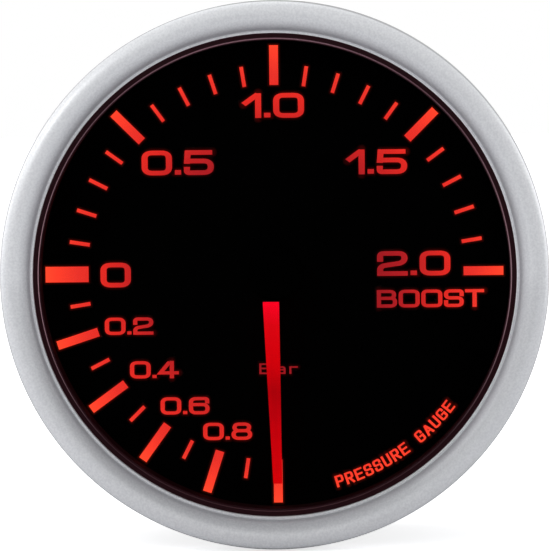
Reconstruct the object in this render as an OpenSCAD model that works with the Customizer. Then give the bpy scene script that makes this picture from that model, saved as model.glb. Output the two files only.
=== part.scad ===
// Round electronic boost gauge for a 60 mm panel hole.
// The dial faces -Y and +Z is up. The origin is on the gauge's axis, in the plane of the panel.
// Every piece is drawn facing +Z with its back at the panel, and place() turns it to face -Y.

/* [Case] */
// Outside diameter of the barrel that passes through the panel
case_d = 60; // [58:0.5:66]
// Wall of the barrel
case_wall = 1.6; // [1.4:0.1:2]
// Length of the barrel behind the panel
case_len = 27; // [26:0.5:40]
// Step from the barrel to the thinner neck that carries the bezel
neck_step = 0.5; // [0.3:0.05:0.7]

/* [Bezel] */
// How far the bezel reaches past the barrel, all round
bezel_overhang = 2.25; // [1.5:0.05:4]
// How far the bezel's lip reaches in over the lens
lip_reach = 1.15; // [0.9:0.05:1.6]
// Thickness of the lip at its inner edge
lip_t = 0.9; // [0.6:0.05:1.2]
// Rise of the crown above the lip
crown_rise = 1.6; // [1:0.1:2.4]
// Radius that rolls the crown over to the outer wall
crown_roll = 1.05; // [0.6:0.05:1.4]

/* [Lens] */
// Air gap from the dial to the lens
lens_gap = 4.8; // [4.6:0.1:7]
// Thickness of the lens flange
lens_flange_t = 1.2; // [0.8:0.1:2]
// Rise of the lens face above its flange
lens_rise = 0.85; // [0.4:0.05:1.2]
// Bevel round the lens face
lens_bevel = 0.22; // [0.1:0.02:0.35]
// Gap from the lens face to the lip, where the flange shows
lens_moat = 0.58; // [0.3:0.02:1]
// Thickness of the gasket under the lens
gasket_t = 1; // [0.6:0.1:1.4]

/* [Dial] */
// Thickness of the dial plate
dial_t = 0.4; // [0.3:0.05:0.8]
// Thickness of the red film behind the dial
film_t = 0.2; // [0.1:0.05:0.4]
// Wall of the shroud ring between the dial and the lens
shroud_wall = 0.5; // [0.4:0.05:1.2]
// Angle that the whole scale covers
sweep_deg = 270; // [240:5:300]
// Scale steps below zero
vacuum_steps = 10; // [5:1:10]
// Scale steps above zero
boost_steps = 20; // [15:1:20]
// Width of a long mark
long_w = 1.19; // [0.8:0.01:1.6]
// Length of a long mark on the boost side
long_l = 4.77; // [3:0.01:6]
// Extra length of a long mark on the vacuum side
long_extra = 0.4; // [0:0.05:0.5]
// Width of the mark at zero
zero_w = 2; // [1.2:0.05:2.6]
// Width of a short mark
short_w = 0.6; // [0.3:0.05:1]
// Length of a short mark
short_l = 2.47; // [1.5:0.01:3]
// Gap from the shroud to the outer end of the long boost marks
long_inset = 0.75; // [0.6:0.05:2]
// Gap from the shroud to the outer end of the short marks
short_inset = 2.97; // [2:0.01:4]

/* [Lighting] */
// Thickness of the clear light guide
guide_t = 2; // [1.5:0.1:3]
// Height of the white light box between the board and the guide
box_h = 2.9; // [2.4:0.1:5]
// Wall of the light box
box_wall = 1; // [0.6:0.1:1.6]
// LEDs round the dial
dial_led_count = 12; // [6:3:12]
// Gap from the light box's outer wall to the ring of LEDs
dial_led_inset = 7.2; // [6.4:0.1:9]
// Length of one LED body
led_l = 2; // [1.6:0.1:3]
// Width of one LED body
led_w = 1.25; // [0.8:0.05:2]
// Height of one LED body
led_h = 0.9; // [0.5:0.05:1.4]

/* [Pointer] */
// Gap from the shroud to the pointer's tip
tip_inset = 2.8; // [1:0.1:6]
// Reach of the blade's root on its wide side
root_wide = 1.7; // [0.8:0.05:2.2]
// Reach of the blade's root on its straight side
root_straight = 0.35; // [0.3:0.05:1]
// Width of the blade at its tip
tip_w = 1.02; // [0.6:0.02:1.6]
// Thickness of the blade
blade_t = 1; // [0.6:0.1:1.4]
// Gap from the dial to the blade
blade_gap = 1.2; // [0.8:0.1:1.6]
// Diameter of the black cap over the pointer's root
cap_d = 6.6; // [6:0.1:10]
// Height of the cap above the blade
cap_h = 1.3; // [1:0.1:1.6]

/* [Motor] */
// Diameter of the motor's shaft
shaft_d = 1.5; // [1.2:0.05:1.8]
// Module of the teeth between the output wheel and the idler
out_mod = 0.2; // [0.19:0.005:0.21]
// Teeth of the output wheel
out_teeth = 90; // [84:1:90]
// Module of the teeth between the idler and the rotor
rotor_mod = 0.15; // [0.14:0.005:0.16]
// Teeth of the idler's wheel
idler_teeth = 72; // [68:1:74]
// Leaves of each steel pinion
leaves = 6; // [6:1:8]
// Thickness of the output wheel's rim
out_rim_t = 1; // [0.8:0.05:1.4]
// Thickness of the idler's wheel
idler_rim_t = 0.8; // [0.6:0.05:1]
// Diameter of the rotor's magnet
magnet_d = 5.5; // [4.5:0.1:5.8]
// Height of the rotor's magnet
magnet_h = 2.2; // [1.8:0.1:3]
// Thickness of the stator plate
stator_t = 1.2; // [0.8:0.1:1.6]
// Wall and lid thickness of the motor's housing
motor_wall = 0.8; // [0.6:0.05:1]
// Diameter of a wound coil
coil_d = 3.8; // [3:0.1:3.9]
// Length of a wound coil
coil_l = 9; // [6:0.1:9.4]

/* [Boards] */
// Thickness of both circuit boards
board_t = 1.6; // [1.2:0.1:2]
// Outside diameter of a board spacer
spacer_d = 5.6; // [5:0.1:6]
// Diameter of the screws' shanks
screw_d = 2.3; // [2:0.05:2.6]
// Diameter of the screws' heads
head_d = 4.4; // [4:0.1:5]

/* [Rear] */
// Thickness of the rear cover
cover_t = 2; // [1.6:0.1:3]
// Thickness of the seal under the rear cover
seal_t = 0.6; // [0.4:0.1:1]
// Diameter of the mounting studs
stud_d = 4; // [3:0.5:5]
// Length of a mounting stud behind the cover
stud_len = 15; // [10:1:25]
// Distance between the two mounting studs
stud_span = 36; // [34:0.5:38]
// Width of the power socket
power_w = 13; // [12:0.5:15]
// Width of the sensor socket
sensor_w = 11; // [10:0.5:13]
// Height of both sockets
socket_h = 8; // [7.5:0.1:9]
// Wall of both sockets
socket_wall = 0.9; // [0.7:0.05:1.2]
// Length of the pins inside the sockets
pin_l = 5; // [4:0.5:6]
// Sound holes in the ring over the buzzer
sound_holes = 6; // [4:1:8]

/* [Hidden] */

// Clearances, and the overrun that every cut has
cut = 0.1;
slip = 0.1;
close_slip = 0.05;
run_slip = 0.04;
loose_slip = 0.2;
fine = 96;

// Radii of the case and of what it carries
case_r = case_d / 2;
case_in_r = case_r - case_wall;
neck_r = case_r - neck_step;
disc_r = case_in_r - loose_slip;
view_r = disc_r - shroud_wall;

// Heights of the front pieces above the panel, where the dial's face lies
neck_h = lens_gap - gasket_t;
flange_top = lens_gap + lens_flange_t;
lip_top = flange_top + lip_t;
bezel_h = lip_top + crown_rise;

// Heights behind the dial, from front to back
film_z = -dial_t - film_t;
guide_z = film_z - guide_t;
board1_top = guide_z - box_h;
board1_z = board1_top - board_t;

// Bezel
bezel_r = case_r + bezel_overhang;
bezel_bore_r = neck_r + slip;
bezel_open_r = bezel_bore_r - lip_reach;
lip_bead_r = lip_t / 6;
lip_ledge = lip_t / 3;
bezel_foot = bezel_overhang / 6;
bezel_seat_r = case_r + loose_slip;

// Lens
lens_r = bezel_bore_r - loose_slip;
lens_face_r = bezel_open_r - lens_moat;

// Dial marks. Angles are read from the centre of the pointer's path, which ends at the right.
scale_steps = vacuum_steps + boost_steps;
step_deg = sweep_deg / scale_steps;
end_deg = (270 - sweep_deg) / 2;
long_r = view_r - long_inset;
short_r = view_r - short_inset;
long_every_boost = 5;
long_every_vacuum = 2;

// Lighting
box_in_r = disc_r - box_wall;
hub_room_r = head_d * 2;
rib_count = 6;
led_r = box_in_r - dial_led_inset;
hub_led_count = 4;
hub_led_r = (hub_room_r - box_wall + shaft_d) / 2 + shaft_d / 2;

// Pointer and its hub
shaft_r = shaft_d / 2;
tip_r = view_r - tip_inset;
cap_r = cap_d / 2;
blade_z = blade_gap;
blade_top = blade_z + blade_t;
root_r = cap_r - slip;
hub_r = shaft_r + tip_w / 2;
hub_z = blade_z - blade_t / 2;
cap_lip = cap_h / 3;
cap_roof = cap_h / 2;
shaft_top = blade_top + cap_lip;
dial_hole_r = shaft_r + slip * 4;

// Tooth shapes, as shares of the module and of half the pitch
pressure_angle = 20;
wheel_tip_share = 1.0;
wheel_root_share = 1.35;
pinion_tip_share = 0.8;
pinion_root_share = 1.25;
tooth_width_share = 0.9;
flank_steps = 2;

// Places of the arbors: the idler below and right of the shaft, the rotor straight below it
out_centre = out_mod * (out_teeth + leaves) / 2;
rotor_centre = rotor_mod * (idler_teeth + leaves) / 2;
idler_deg = -60;
idler_x = out_centre * cos(idler_deg);
idler_y = out_centre * sin(idler_deg);
rotor_y = idler_y - sqrt(rotor_centre * rotor_centre - idler_x * idler_x);
rotor_deg = atan2(rotor_y - idler_y, -idler_x);
out_tip_r = out_mod * (out_teeth / 2 + wheel_tip_share);
idler_tip_r = rotor_mod * (idler_teeth / 2 + wheel_tip_share);

// Heights inside the motor, from front to back
layer_gap = 0.3;
lid_top = board1_z;
lid_z = lid_top - motor_wall;
out_rim_z = lid_z - layer_gap - out_rim_t;
idler_rim_z = out_rim_z - layer_gap * 2 - idler_rim_t;
magnet_z = idler_rim_z - layer_gap * 2 - magnet_h;
stator_z = magnet_z + (magnet_h - stator_t) / 2;
motor_inside_z = min(magnet_z - layer_gap * 2, stator_z + stator_t / 2 - coil_d / 2 - layer_gap);
motor_z = motor_inside_z - motor_wall;
leaf_over = layer_gap / 2;
arbor_r = rotor_mod * 3.4;
pivot_r = rotor_mod * 1.6;
pivot_l = motor_wall * 0.7;
boss_r = shaft_r + motor_wall * 1.5;
boss_top = board1_top + layer_gap;

// Plan of the motor's housing and its iron
magnet_r = magnet_d / 2;
air_gap = 0.35;
pole_r = magnet_r + air_gap;
pole_w = motor_wall;
leg_w = stator_t * 1.5;
leg_x = out_tip_r + coil_d / 2 + layer_gap - slip;
bobbin_wall = 0.3;
coil_y = layer_gap + slip * 2;
bridge_y = coil_y + coil_l / 2 + bobbin_wall + leg_w;
motor_half_w = leg_x + coil_d / 2 + layer_gap + motor_wall;
motor_top = max(bridge_y + leg_w, out_tip_r + layer_gap) + motor_wall;
motor_bottom = rotor_y - pole_r - pole_w - layer_gap / 2 - motor_wall;
motor_corner = motor_wall * 5;
motor_pin_r = shaft_r * 0.4;
motor_pin_x = [leg_x - leg_w * 0.7, leg_x + leg_w * 0.5];
motor_pin_y = bridge_y + leg_w * 0.5;
motor_clear = 0.6;

// Second board, spacers and screw bosses
board2_top = motor_z - motor_clear;
board2_z = board2_top - board_t;
board_gap = board1_z - board2_top;
screw_r = screw_d / 2;
screw_hole_r = screw_r + slip;
head_r = head_d / 2;
head_h = screw_d * 0.55;
boss_out_r = spacer_d / 2 + slip * 2;
boss_ring_r = case_in_r - boss_out_r - slip * 9;
boss_deg = 26;
board_r = case_in_r - loose_slip * 1.5;
shroud_r = disc_r;

// Rear cover, counted back from the case's rim
rim_z = -case_len;
cover_top = rim_z - seal_t;
cover_z = cover_top - cover_t;
cover_r = case_r - neck_step;
pad_h = cover_t;
boss_end = cover_top + pad_h;
seal_w = case_wall * 0.7;
sink_h = head_r - screw_r;
grip_share = 0.42;
grip_l = (board2_z - boss_end) * grip_share;
screw_end_gap = screw_d / 4;

// Studs
stud_r = stud_d / 2;
stud_neck_r = stud_r * 1.2;
stud_head_r = stud_r * 1.9;
stud_head_t = cover_t / 2;
stud_collar_r = stud_r * 2;
stud_collar_h = cover_t * 0.6;

// Sockets and their pins
socket_y = -case_r * 0.42;
power_x = -power_w / 2 - socket_wall * 1.4;
sensor_x = sensor_w / 2 + socket_wall * 1.4;
socket_floor = socket_wall * 1.6;
socket_end = cover_z - slip * 3;
pin_w = socket_wall * 0.7;
pin_tail = pin_w * 0.6;
pin_pitch = socket_h * 0.31;
power_pins_n = 4;
sensor_pins_n = 3;
key_w = socket_wall * 3.5;
key_l = socket_h / 2;

// Room behind the second board, and the shares of it that the tallest parts fill
rear_room = board2_z - cover_top;
buzzer_share = 0.79;
can_share = 0.53;

// Parts on the boards
buzzer_r = case_r * 0.2;
buzzer_y = case_r * 0.41;
buzzer_h = rear_room * buzzer_share;
sound_hole_r = buzzer_r * 0.13;
sound_ring_r = buzzer_r * 0.5;
chip_w = 7;
chip_t = 1.2;
chip_x = -case_r * 0.38;
chip_y = case_r * 0.2;
chip_legs = 8;
leg_pitch = chip_w * 0.8 / (chip_legs - 1);
leg_l = chip_w * 0.14;
regulator_w = 6.5;
regulator_x = case_r * 0.35;
regulator_y = case_r * 0.36;
cap_can_r = 3.15;
cap_can_h = rear_room * can_share;
cap_base = 6.6;
cap_x = case_r * 0.38;
cap_y = case_r * 0.07;
header_x = -motor_half_w - motor_wall * 4.5;
header_rows = 2;
header_pins_n = 4;
header_pitch = 2;
header_w = header_rows * header_pitch;

// Turn from the drawing's position to the gauge's own
module place() rotate([90, 0, 0]) children();

module around(count, radius, start = 0)
    for (i = [0 : count - 1])
        rotate([0, 0, start + i * 360 / count]) translate([radius, 0, 0]) children();

// The four screw places: two pairs, each level across the gauge
module boss_places()
    for (deg = [boss_deg, 180 - boss_deg, 180 + boss_deg, -boss_deg])
        rotate([0, 0, deg]) translate([boss_ring_r, 0, 0]) children();

module disc(radius, height, z) translate([0, 0, z]) cylinder(r = radius, h = height, $fn = fine);

// A plain hole from below z to above z + height
module bore(radius, height, z) disc(radius, height + 2 * cut, z - cut);

module ring(outer, inner, height, z)
    difference() {
        disc(outer, height, z);
        bore(inner, height, z);
    }

// Square stick, seen from the front at its middle
module block(w, h, t, z) translate([-w / 2, -h / 2, z]) cube([w, h, t]);

// Plan of a rectangle with round corners, made of straight pieces and true arcs
module rounded(left, bottom, right, top, corner) {
    translate([left + corner, bottom]) square([right - left - 2 * corner, top - bottom]);
    translate([left, bottom + corner]) square([right - left, top - bottom - 2 * corner]);
    for (x = [left + corner, right - corner], y = [bottom + corner, top - corner])
        translate([x, y]) circle(r = corner, $fn = fine);
}

// Involute teeth
function inv(a) = tan(a) * 180 / PI - a;
function half_tooth(teeth, base, r) =
    90 / teeth * tooth_width_share + inv(pressure_angle) - (r > base ? inv(acos(base / r)) : 0);
function tooth_radii(root, base, tip) =
    let (low = max(root, base))
    concat(root < base ? [root] : [], [for (i = [0 : flank_steps]) low + (tip - low) * i / flank_steps]);
function gear_outline(teeth, mod, tip_share, root_share) =
    let (
        pitch = teeth * mod / 2,
        base = pitch * cos(pressure_angle),
        radii = tooth_radii(pitch - mod * root_share, base, pitch + mod * tip_share),
        last = len(radii) - 1
    )
    [for (k = [0 : teeth - 1], side = [-1, 1], i = [0 : last])
        let (
            r = radii[side < 0 ? i : last - i],
            a = 360 * k / teeth + side * half_tooth(teeth, base, r)
        )
        r * [cos(a), sin(a)]];
module wheel_teeth(teeth, mod, height)
    linear_extrude(height) polygon(gear_outline(teeth, mod, wheel_tip_share, wheel_root_share));
module pinion_leaves(mod, height)
    linear_extrude(height) polygon(gear_outline(leaves, mod, pinion_tip_share, pinion_root_share));

// Case: a moulded barrel, a stepped neck for the bezel, and four screw bosses on its inner wall
module case() color("#1b1b1d") place() {
    difference() {
        union() {
            disc(case_r, case_len, rim_z);
            disc(neck_r, neck_h + cut, -cut);
        }
        bore(case_in_r, case_len + neck_h, rim_z);
    }
    difference() {
        boss_places() {
            disc(boss_out_r, board2_z - boss_end, boss_end);
            translate([0, -boss_out_r * 0.6, boss_end])
                cube([case_in_r - boss_ring_r + case_wall / 2, boss_out_r * 1.2, board2_z - boss_end]);
        }
        boss_places() {
            bore(screw_r + close_slip, grip_l, board2_z - grip_l + cut);
            bore(screw_r + close_slip, grip_l, boss_end - cut);
        }
    }
}

// Rear cover: moulded plate with screw pads, stud collars, socket windows and sound holes
module rear_cover() color("#202022") place()
    difference() {
        union() {
            rotate_extrude($fn = fine) polygon([
                [0, cover_top], [cover_r, cover_top], [cover_r, cover_z + cover_t / 4],
                [cover_r - cover_t / 4, cover_z], [0, cover_z]
            ]);
            boss_places() disc(boss_out_r, pad_h + cut, cover_top - cut);
            for (side = [-1, 1]) translate([side * stud_span / 2, 0, 0])
                disc(stud_collar_r, stud_collar_h + cut, cover_z - stud_collar_h);
        }
        boss_places() {
            bore(screw_hole_r, cover_t + pad_h, cover_z);
            translate([0, 0, cover_z]) cylinder(r1 = head_r + close_slip, r2 = screw_hole_r, h = sink_h, $fn = fine);
            disc(head_r + close_slip, cut, cover_z - cut);
        }
        for (side = [-1, 1]) translate([side * stud_span / 2, 0, 0]) {
            bore(stud_neck_r + close_slip, cover_t + stud_collar_h, cover_z - stud_collar_h);
            bore(stud_head_r + slip, stud_head_t, cover_top - stud_head_t + cut);
        }
        socket_window(power_x, power_w);
        socket_window(sensor_x, sensor_w);
        translate([0, buzzer_y, 0]) {
            bore(sound_hole_r, cover_t, cover_z);
            around(sound_holes, sound_ring_r) bore(sound_hole_r, cover_t, cover_z);
        }
    }

module socket_window(x, w)
    translate([x, socket_y, 0])
        block(w + 2 * loose_slip, socket_h + 2 * loose_slip, cover_t + 2 * cut, cover_z - cut);

module cover_seal() color("#111111") place()
    ring(cover_r - slip, cover_r - slip - seal_w, seal_t, cover_top);

// Countersunk screws, each with a cross recess
module cover_screws() color("#8c8f94") place()
    boss_places()
        difference() {
            union() {
                disc(screw_r, cover_t + pad_h + grip_l - screw_end_gap, cover_z);
                translate([0, 0, cover_z]) cylinder(r1 = head_r, r2 = screw_r, h = sink_h, $fn = fine);
            }
            cross(cover_z - cut, sink_h * 0.7 + cut);
        }

module cross(z, depth)
    for (turn = [0, 90]) rotate([0, 0, turn]) block(head_r, head_r * 0.22, depth, z);

// Steel studs, pressed in from inside the cover, with a chamfered end
module mounting_studs() color("#b9bcc0") place()
    for (side = [-1, 1]) translate([side * stud_span / 2, 0, 0])
        rotate_extrude($fn = fine) polygon([
            [0, cover_top], [stud_head_r, cover_top], [stud_head_r, cover_top - stud_head_t],
            [stud_neck_r, cover_top - stud_head_t], [stud_neck_r, cover_z - stud_collar_h],
            [stud_r, cover_z - stud_collar_h], [stud_r, cover_z - stud_len + stud_r / 4],
            [stud_r * 0.75, cover_z - stud_len], [0, cover_z - stud_len]
        ]);

// Bezel: one crowned ring, with a small bead round its opening
crown_r = bezel_r - crown_roll;
crown_run = crown_r - bezel_open_r - lip_ledge;
crown_arc_r = (crown_run * crown_run + crown_rise * crown_rise) / (2 * crown_rise);
module bezel() color("#c3c6ca") place()
    rotate_extrude($fn = fine * 2) {
        translate([crown_r, bezel_h - crown_roll]) circle(r = crown_roll, $fn = fine);
        intersection() {
            translate([crown_r, bezel_h - crown_arc_r]) circle(r = crown_arc_r, $fn = fine * 2);
            translate([crown_r - crown_run, flange_top]) square([crown_run, bezel_h - flange_top]);
        }
        polygon([
            [bezel_bore_r, bezel_seat_r - bezel_bore_r], [bezel_seat_r, 0],
            [bezel_r - bezel_foot, 0], [bezel_r, bezel_foot],
            [bezel_r, bezel_h - crown_roll], [crown_r, bezel_h - crown_roll],
            [crown_r - crown_run, lip_top - lip_bead_r], [bezel_open_r + lip_bead_r, lip_top - lip_bead_r],
            [bezel_open_r, lip_top - lip_bead_r], [bezel_open_r, flange_top], [bezel_bore_r, flange_top]
        ]);
        translate([bezel_open_r + lip_bead_r, lip_top - lip_bead_r]) circle(r = lip_bead_r, $fn = fine);
    }

module lens() color("#dfe6ea", 0.35) place()
    rotate_extrude($fn = fine * 2) polygon([
        [0, lens_gap], [lens_r, lens_gap], [lens_r, flange_top], [lens_face_r, flange_top],
        [lens_face_r, flange_top + lens_rise - lens_bevel],
        [lens_face_r - lens_bevel, flange_top + lens_rise], [0, flange_top + lens_rise]
    ]);

module lens_gasket() color("#0d0d0d") place()
    ring(neck_r - close_slip, case_in_r + close_slip, gasket_t, neck_h);

// Shroud: black ring that holds the dial down, with a lead-in at its front edge
module shroud_ring() color("#0a0a0a") place()
    rotate_extrude($fn = fine * 2) polygon([
        [view_r, 0], [shroud_r, 0], [shroud_r, lens_gap], [view_r + shroud_wall / 2, lens_gap],
        [view_r, lens_gap - shroud_wall / 2]
    ]);

// One mark's window, running inwards from radius r_out
module mark(deg, r_out, l, w)
    rotate([0, 0, deg]) translate([r_out - l, -w / 2, -dial_t - cut]) cube([l, w, dial_t + 2 * cut]);

// Dial: black plate with a window for each mark, counted from zero both ways
module dial_plate() color("#050505") place()
    difference() {
        disc(disc_r, dial_t, -dial_t);
        bore(dial_hole_r, dial_t, -dial_t);
        for (i = [-vacuum_steps : boost_steps]) {
            deg = end_deg + (boost_steps - i) * step_deg;
            long = i > 0 ? i % long_every_boost == 0 : i % long_every_vacuum == 0;
            if (i == 0) mark(deg, long_r + long_extra, long_l + long_extra, zero_w);
            else if (long && i < 0) mark(deg, long_r + long_extra, long_l + long_extra, long_w);
            else if (long) mark(deg, long_r, long_l, long_w);
            else mark(deg, short_r, short_l, short_w);
        }
    }

module colour_film() color("#d8281c") place() ring(disc_r, dial_hole_r, film_t, film_z);

// Light guide: clear disc with a shallow pocket over each LED
module light_guide() color("#e8eef0", 0.5) place()
    difference() {
        ring(disc_r, boss_r, guide_t, guide_z);
        around(dial_led_count, led_r, 180 / dial_led_count) bore(led_l * 0.8, guide_t / 4, guide_z - cut);
    }

// Light box: white tray that keeps the dial's light apart from the pointer's
module light_box() color("#f2f2ee") place()
    translate([0, 0, board1_top]) linear_extrude(box_h) difference() {
        circle(r = disc_r, $fn = fine);
        circle(r = hub_room_r - box_wall, $fn = fine);
        difference() {
            circle(r = box_in_r, $fn = fine);
            circle(r = hub_room_r, $fn = fine);
            for (i = [0 : rib_count - 1])
                rotate(i * 360 / rib_count) translate([0, -box_wall / 2]) square([disc_r, box_wall]);
        }
    }

// One LED: a white body with a clear window let into its top
module led(z)
    difference() {
        block(led_w, led_l, led_h, z);
        disc(led_w * 0.36, led_h, z + led_h * 0.7);
    }
module dial_leds() color("#f6f3e6") place()
    around(dial_led_count, led_r, 180 / dial_led_count) led(board1_top);
module hub_leds() color("#f6f3e6") place()
    around(hub_led_count, hub_led_r, 180 / hub_led_count) led(board1_top);

// Front board: carries the motor behind and the LEDs in front
module front_board() color("#14532b") place()
    difference() {
        disc(board_r, board_t, board1_z);
        bore(boss_r + loose_slip, board_t, board1_z);
        boss_places() bore(screw_hole_r, board_t, board1_z);
        motor_pin_places() bore(motor_pin_r + slip, board_t, board1_z);
        header_places() block(pin_w + 2 * slip, pin_w + 2 * slip, board_t + 2 * cut, board1_z - cut);
    }

module board_spacers() color("#c9a24b") place()
    boss_places()
        ring(spacer_d / 2, screw_hole_r, board_gap, board2_top);

// Pan head screws through both boards and the spacers, into the case
module board_screws() color("#8c8f94") place()
    boss_places()
        difference() {
            union() {
                disc(screw_r, board1_top - board2_z + grip_l - screw_end_gap, board2_z - grip_l + screw_end_gap);
                rotate_extrude($fn = fine) polygon([
                    [0, board1_top], [head_r, board1_top], [head_r, board1_top + head_h / 2],
                    [head_r * 0.7, board1_top + head_h], [0, board1_top + head_h]
                ]);
            }
            cross(board1_top + head_h / 2, head_h);
        }

module header_places()
    for (row = [0 : header_rows - 1], i = [0 : header_pins_n - 1])
        translate([header_x + (row - (header_rows - 1) / 2) * header_pitch,
            (i - (header_pins_n - 1) / 2) * header_pitch, 0]) children();

module board_header() color("#17171a") place()
    difference() {
        translate([header_x, 0, 0]) block(header_w, header_pins_n * header_pitch, board_gap, board2_top);
        header_places()
            block(pin_w + 2 * slip, pin_w + 2 * slip, board_gap + 2 * cut, board2_top - cut);
    }
module header_pins() color("#c8b46a") place()
    header_places() block(pin_w, pin_w, board_gap + 2 * board_t + 2 * pin_w, board2_z - pin_w);

module main_board() color("#14532b") place()
    difference() {
        disc(board_r, board_t, board2_z);
        boss_places() bore(screw_hole_r, board_t, board2_z);
        header_places() block(pin_w + 2 * slip, pin_w + 2 * slip, board_t + 2 * cut, board2_z - cut);
        socket_pins(power_x, power_pins_n)
            block(pin_w + 2 * slip, pin_w + 2 * slip, board_t + 2 * cut, board2_z - cut);
        socket_pins(sensor_x, sensor_pins_n)
            block(pin_w + 2 * slip, pin_w + 2 * slip, board_t + 2 * cut, board2_z - cut);
    }

// Square chip with a row of legs on each side
module microcontroller() color("#26262a") place()
    translate([chip_x, chip_y, 0]) {
        block(chip_w, chip_w, chip_t, board2_z - chip_t);
        for (turn = [0 : 90 : 270], i = [0 : chip_legs - 1])
            rotate([0, 0, turn]) translate([chip_w / 2 + leg_l / 2, (i - (chip_legs - 1) / 2) * leg_pitch, 0])
                block(leg_l + leg_pitch / 2, leg_pitch / 2, chip_t / 5, board2_z - chip_t / 5);
    }

// Regulator: body, wide tab on one side and three legs on the other
module voltage_regulator() color("#26262a") place()
    translate([regulator_x, regulator_y, 0]) {
        block(regulator_w, regulator_w * 0.54, regulator_w * 0.25, board2_z - regulator_w * 0.25);
        translate([0, regulator_w * 0.36, 0])
            block(regulator_w * 0.46, regulator_w * 0.26, chip_t / 4, board2_z - chip_t / 4);
        for (i = [-1 : 1]) translate([i * regulator_w * 0.35, -regulator_w * 0.36, 0])
            block(regulator_w * 0.11, regulator_w * 0.26, chip_t / 4, board2_z - chip_t / 4);
    }

// Two round cans on square bases, with a groove round each foot
module capacitors() color("#aab0b6") place()
    for (i = [0, 1]) translate([cap_x + i * (cap_base + slip * 5), cap_y, 0]) {
        block(cap_base, cap_base, cap_can_h / 8, board2_z - cap_can_h / 8);
        rotate_extrude($fn = fine) polygon([
            [0, board2_z], [cap_can_r, board2_z], [cap_can_r, board2_z - cap_can_h * 0.25],
            [cap_can_r * 0.92, board2_z - cap_can_h * 0.3], [cap_can_r, board2_z - cap_can_h * 0.35],
            [cap_can_r, board2_z - cap_can_h * 0.95], [cap_can_r * 0.95, board2_z - cap_can_h],
            [0, board2_z - cap_can_h]
        ]);
    }

// Buzzer: closed can with one sound port
module buzzer() color("#101012") place()
    translate([0, buzzer_y, 0])
        difference() {
            disc(buzzer_r, buzzer_h, board2_z - buzzer_h);
            bore(sound_hole_r * 1.5, buzzer_h / 4, board2_z - buzzer_h);
        }

module socket_pins(x, count)
    for (i = [0 : count - 1])
        translate([x + (i - (count - 1) / 2) * pin_pitch, socket_y, 0]) children();

// Socket: deep box open to the rear, with a keyway for the plug's latch
module socket(x, w, count)
    difference() {
        translate([x, socket_y, 0]) block(w, socket_h, board2_z - socket_end, socket_end);
        translate([x, socket_y, 0])
            block(w - 2 * socket_wall, socket_h - 2 * socket_wall, board2_z - socket_end - socket_floor + cut,
                socket_end - cut);
        translate([x, socket_y + socket_h / 2 - socket_wall / 2, 0])
            block(key_w, socket_wall + 2 * cut, key_l + cut, socket_end - cut);
        socket_pins(x, count)
            block(pin_w + 2 * slip, pin_w + 2 * slip, socket_floor + 2 * cut, board2_z - socket_floor - cut);
    }
module power_socket() color("#e9e6da") place() socket(power_x, power_w, power_pins_n);
module sensor_socket() color("#e9e6da") place() socket(sensor_x, sensor_w, sensor_pins_n);

// Square pins with a lead-in at the mating end
module pins_of(x, count)
    socket_pins(x, count) {
        block(pin_w, pin_w, board_t + pin_tail + socket_floor + pin_l - pin_w,
            board2_z - socket_floor - pin_l + pin_w);
        block(pin_w / 2, pin_w / 2, pin_w, board2_z - socket_floor - pin_l);
    }
module power_pins() color("#c8b46a") place() pins_of(power_x, power_pins_n);
module sensor_pins() color("#c8b46a") place() pins_of(sensor_x, sensor_pins_n);

module motor_plan(inset)
    rounded(-motor_half_w + inset, motor_bottom + inset, motor_half_w - inset, motor_top - inset,
        motor_corner - inset);

module at_idler() translate([idler_x, idler_y, 0]) children();
module at_rotor() translate([0, rotor_y, 0]) children();
module motor_pin_places()
    for (side = [-1, 1], x = motor_pin_x) translate([side * x, motor_pin_y, 0]) children();

// Motor base: a tray with a bearing hole for each arbor and two posts for the stator's legs
module motor_base() color("#3a3d42") place() {
    difference() {
        translate([0, 0, motor_z]) linear_extrude(lid_z - motor_z) motor_plan(0);
        translate([0, 0, motor_inside_z]) linear_extrude(lid_z - motor_inside_z + cut) motor_plan(motor_wall);
        bore(pivot_r * 2 + run_slip, motor_wall, motor_z);
        at_idler() bore(pivot_r + run_slip, motor_wall, motor_z);
        at_rotor() bore(pivot_r + run_slip, motor_wall, motor_z);
    }
    for (side = [-1, 1], y = [bridge_y, rotor_y]) translate([side * leg_x, y, 0])
        disc(leg_w * 0.45, stator_z - motor_inside_z + cut, motor_inside_z - cut);
}

// Motor lid: a flat plate whose long boss guides the shaft through the board
module motor_lid() color("#3a3d42") place()
    difference() {
        union() {
            translate([0, 0, lid_z]) linear_extrude(motor_wall) motor_plan(0);
            disc(boss_r, boss_top - lid_z, lid_z);
        }
        bore(shaft_r + run_slip, boss_top - lid_z, lid_z);
        at_idler() bore(pivot_r + run_slip, motor_wall, lid_z);
        at_rotor() bore(pivot_r + run_slip, motor_wall, lid_z);
        motor_pin_places() bore(motor_pin_r + close_slip, motor_wall, lid_z);
    }

// Stator: one stamped loop, split at the rotor so that each side is a pole
module stator() color("#8a8e93") place()
    difference() {
        translate([0, 0, stator_z]) linear_extrude(stator_t) difference() {
            union() {
                translate([0, rotor_y]) circle(r = pole_r + pole_w, $fn = fine);
                rounded(-leg_x - leg_w / 2, rotor_y - leg_w / 2, leg_x + leg_w / 2, rotor_y + leg_w / 2,
                    leg_w * 0.4);
                for (side = [-1, 1])
                    translate([side * leg_x - leg_w / 2, rotor_y]) square([leg_w, bridge_y - rotor_y]);
                rounded(-leg_x - leg_w / 2, bridge_y - leg_w / 2, leg_x + leg_w / 2, bridge_y + leg_w / 2,
                    leg_w * 0.4);
            }
            translate([0, rotor_y]) circle(r = pole_r, $fn = fine);
        }
        for (side = [-1, 1]) translate([0, rotor_y + side * pole_r, 0])
            block(air_gap, (pole_w + slip) * 1.5, stator_t * 0.6, stator_z + stator_t * 0.6);
    }

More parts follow.
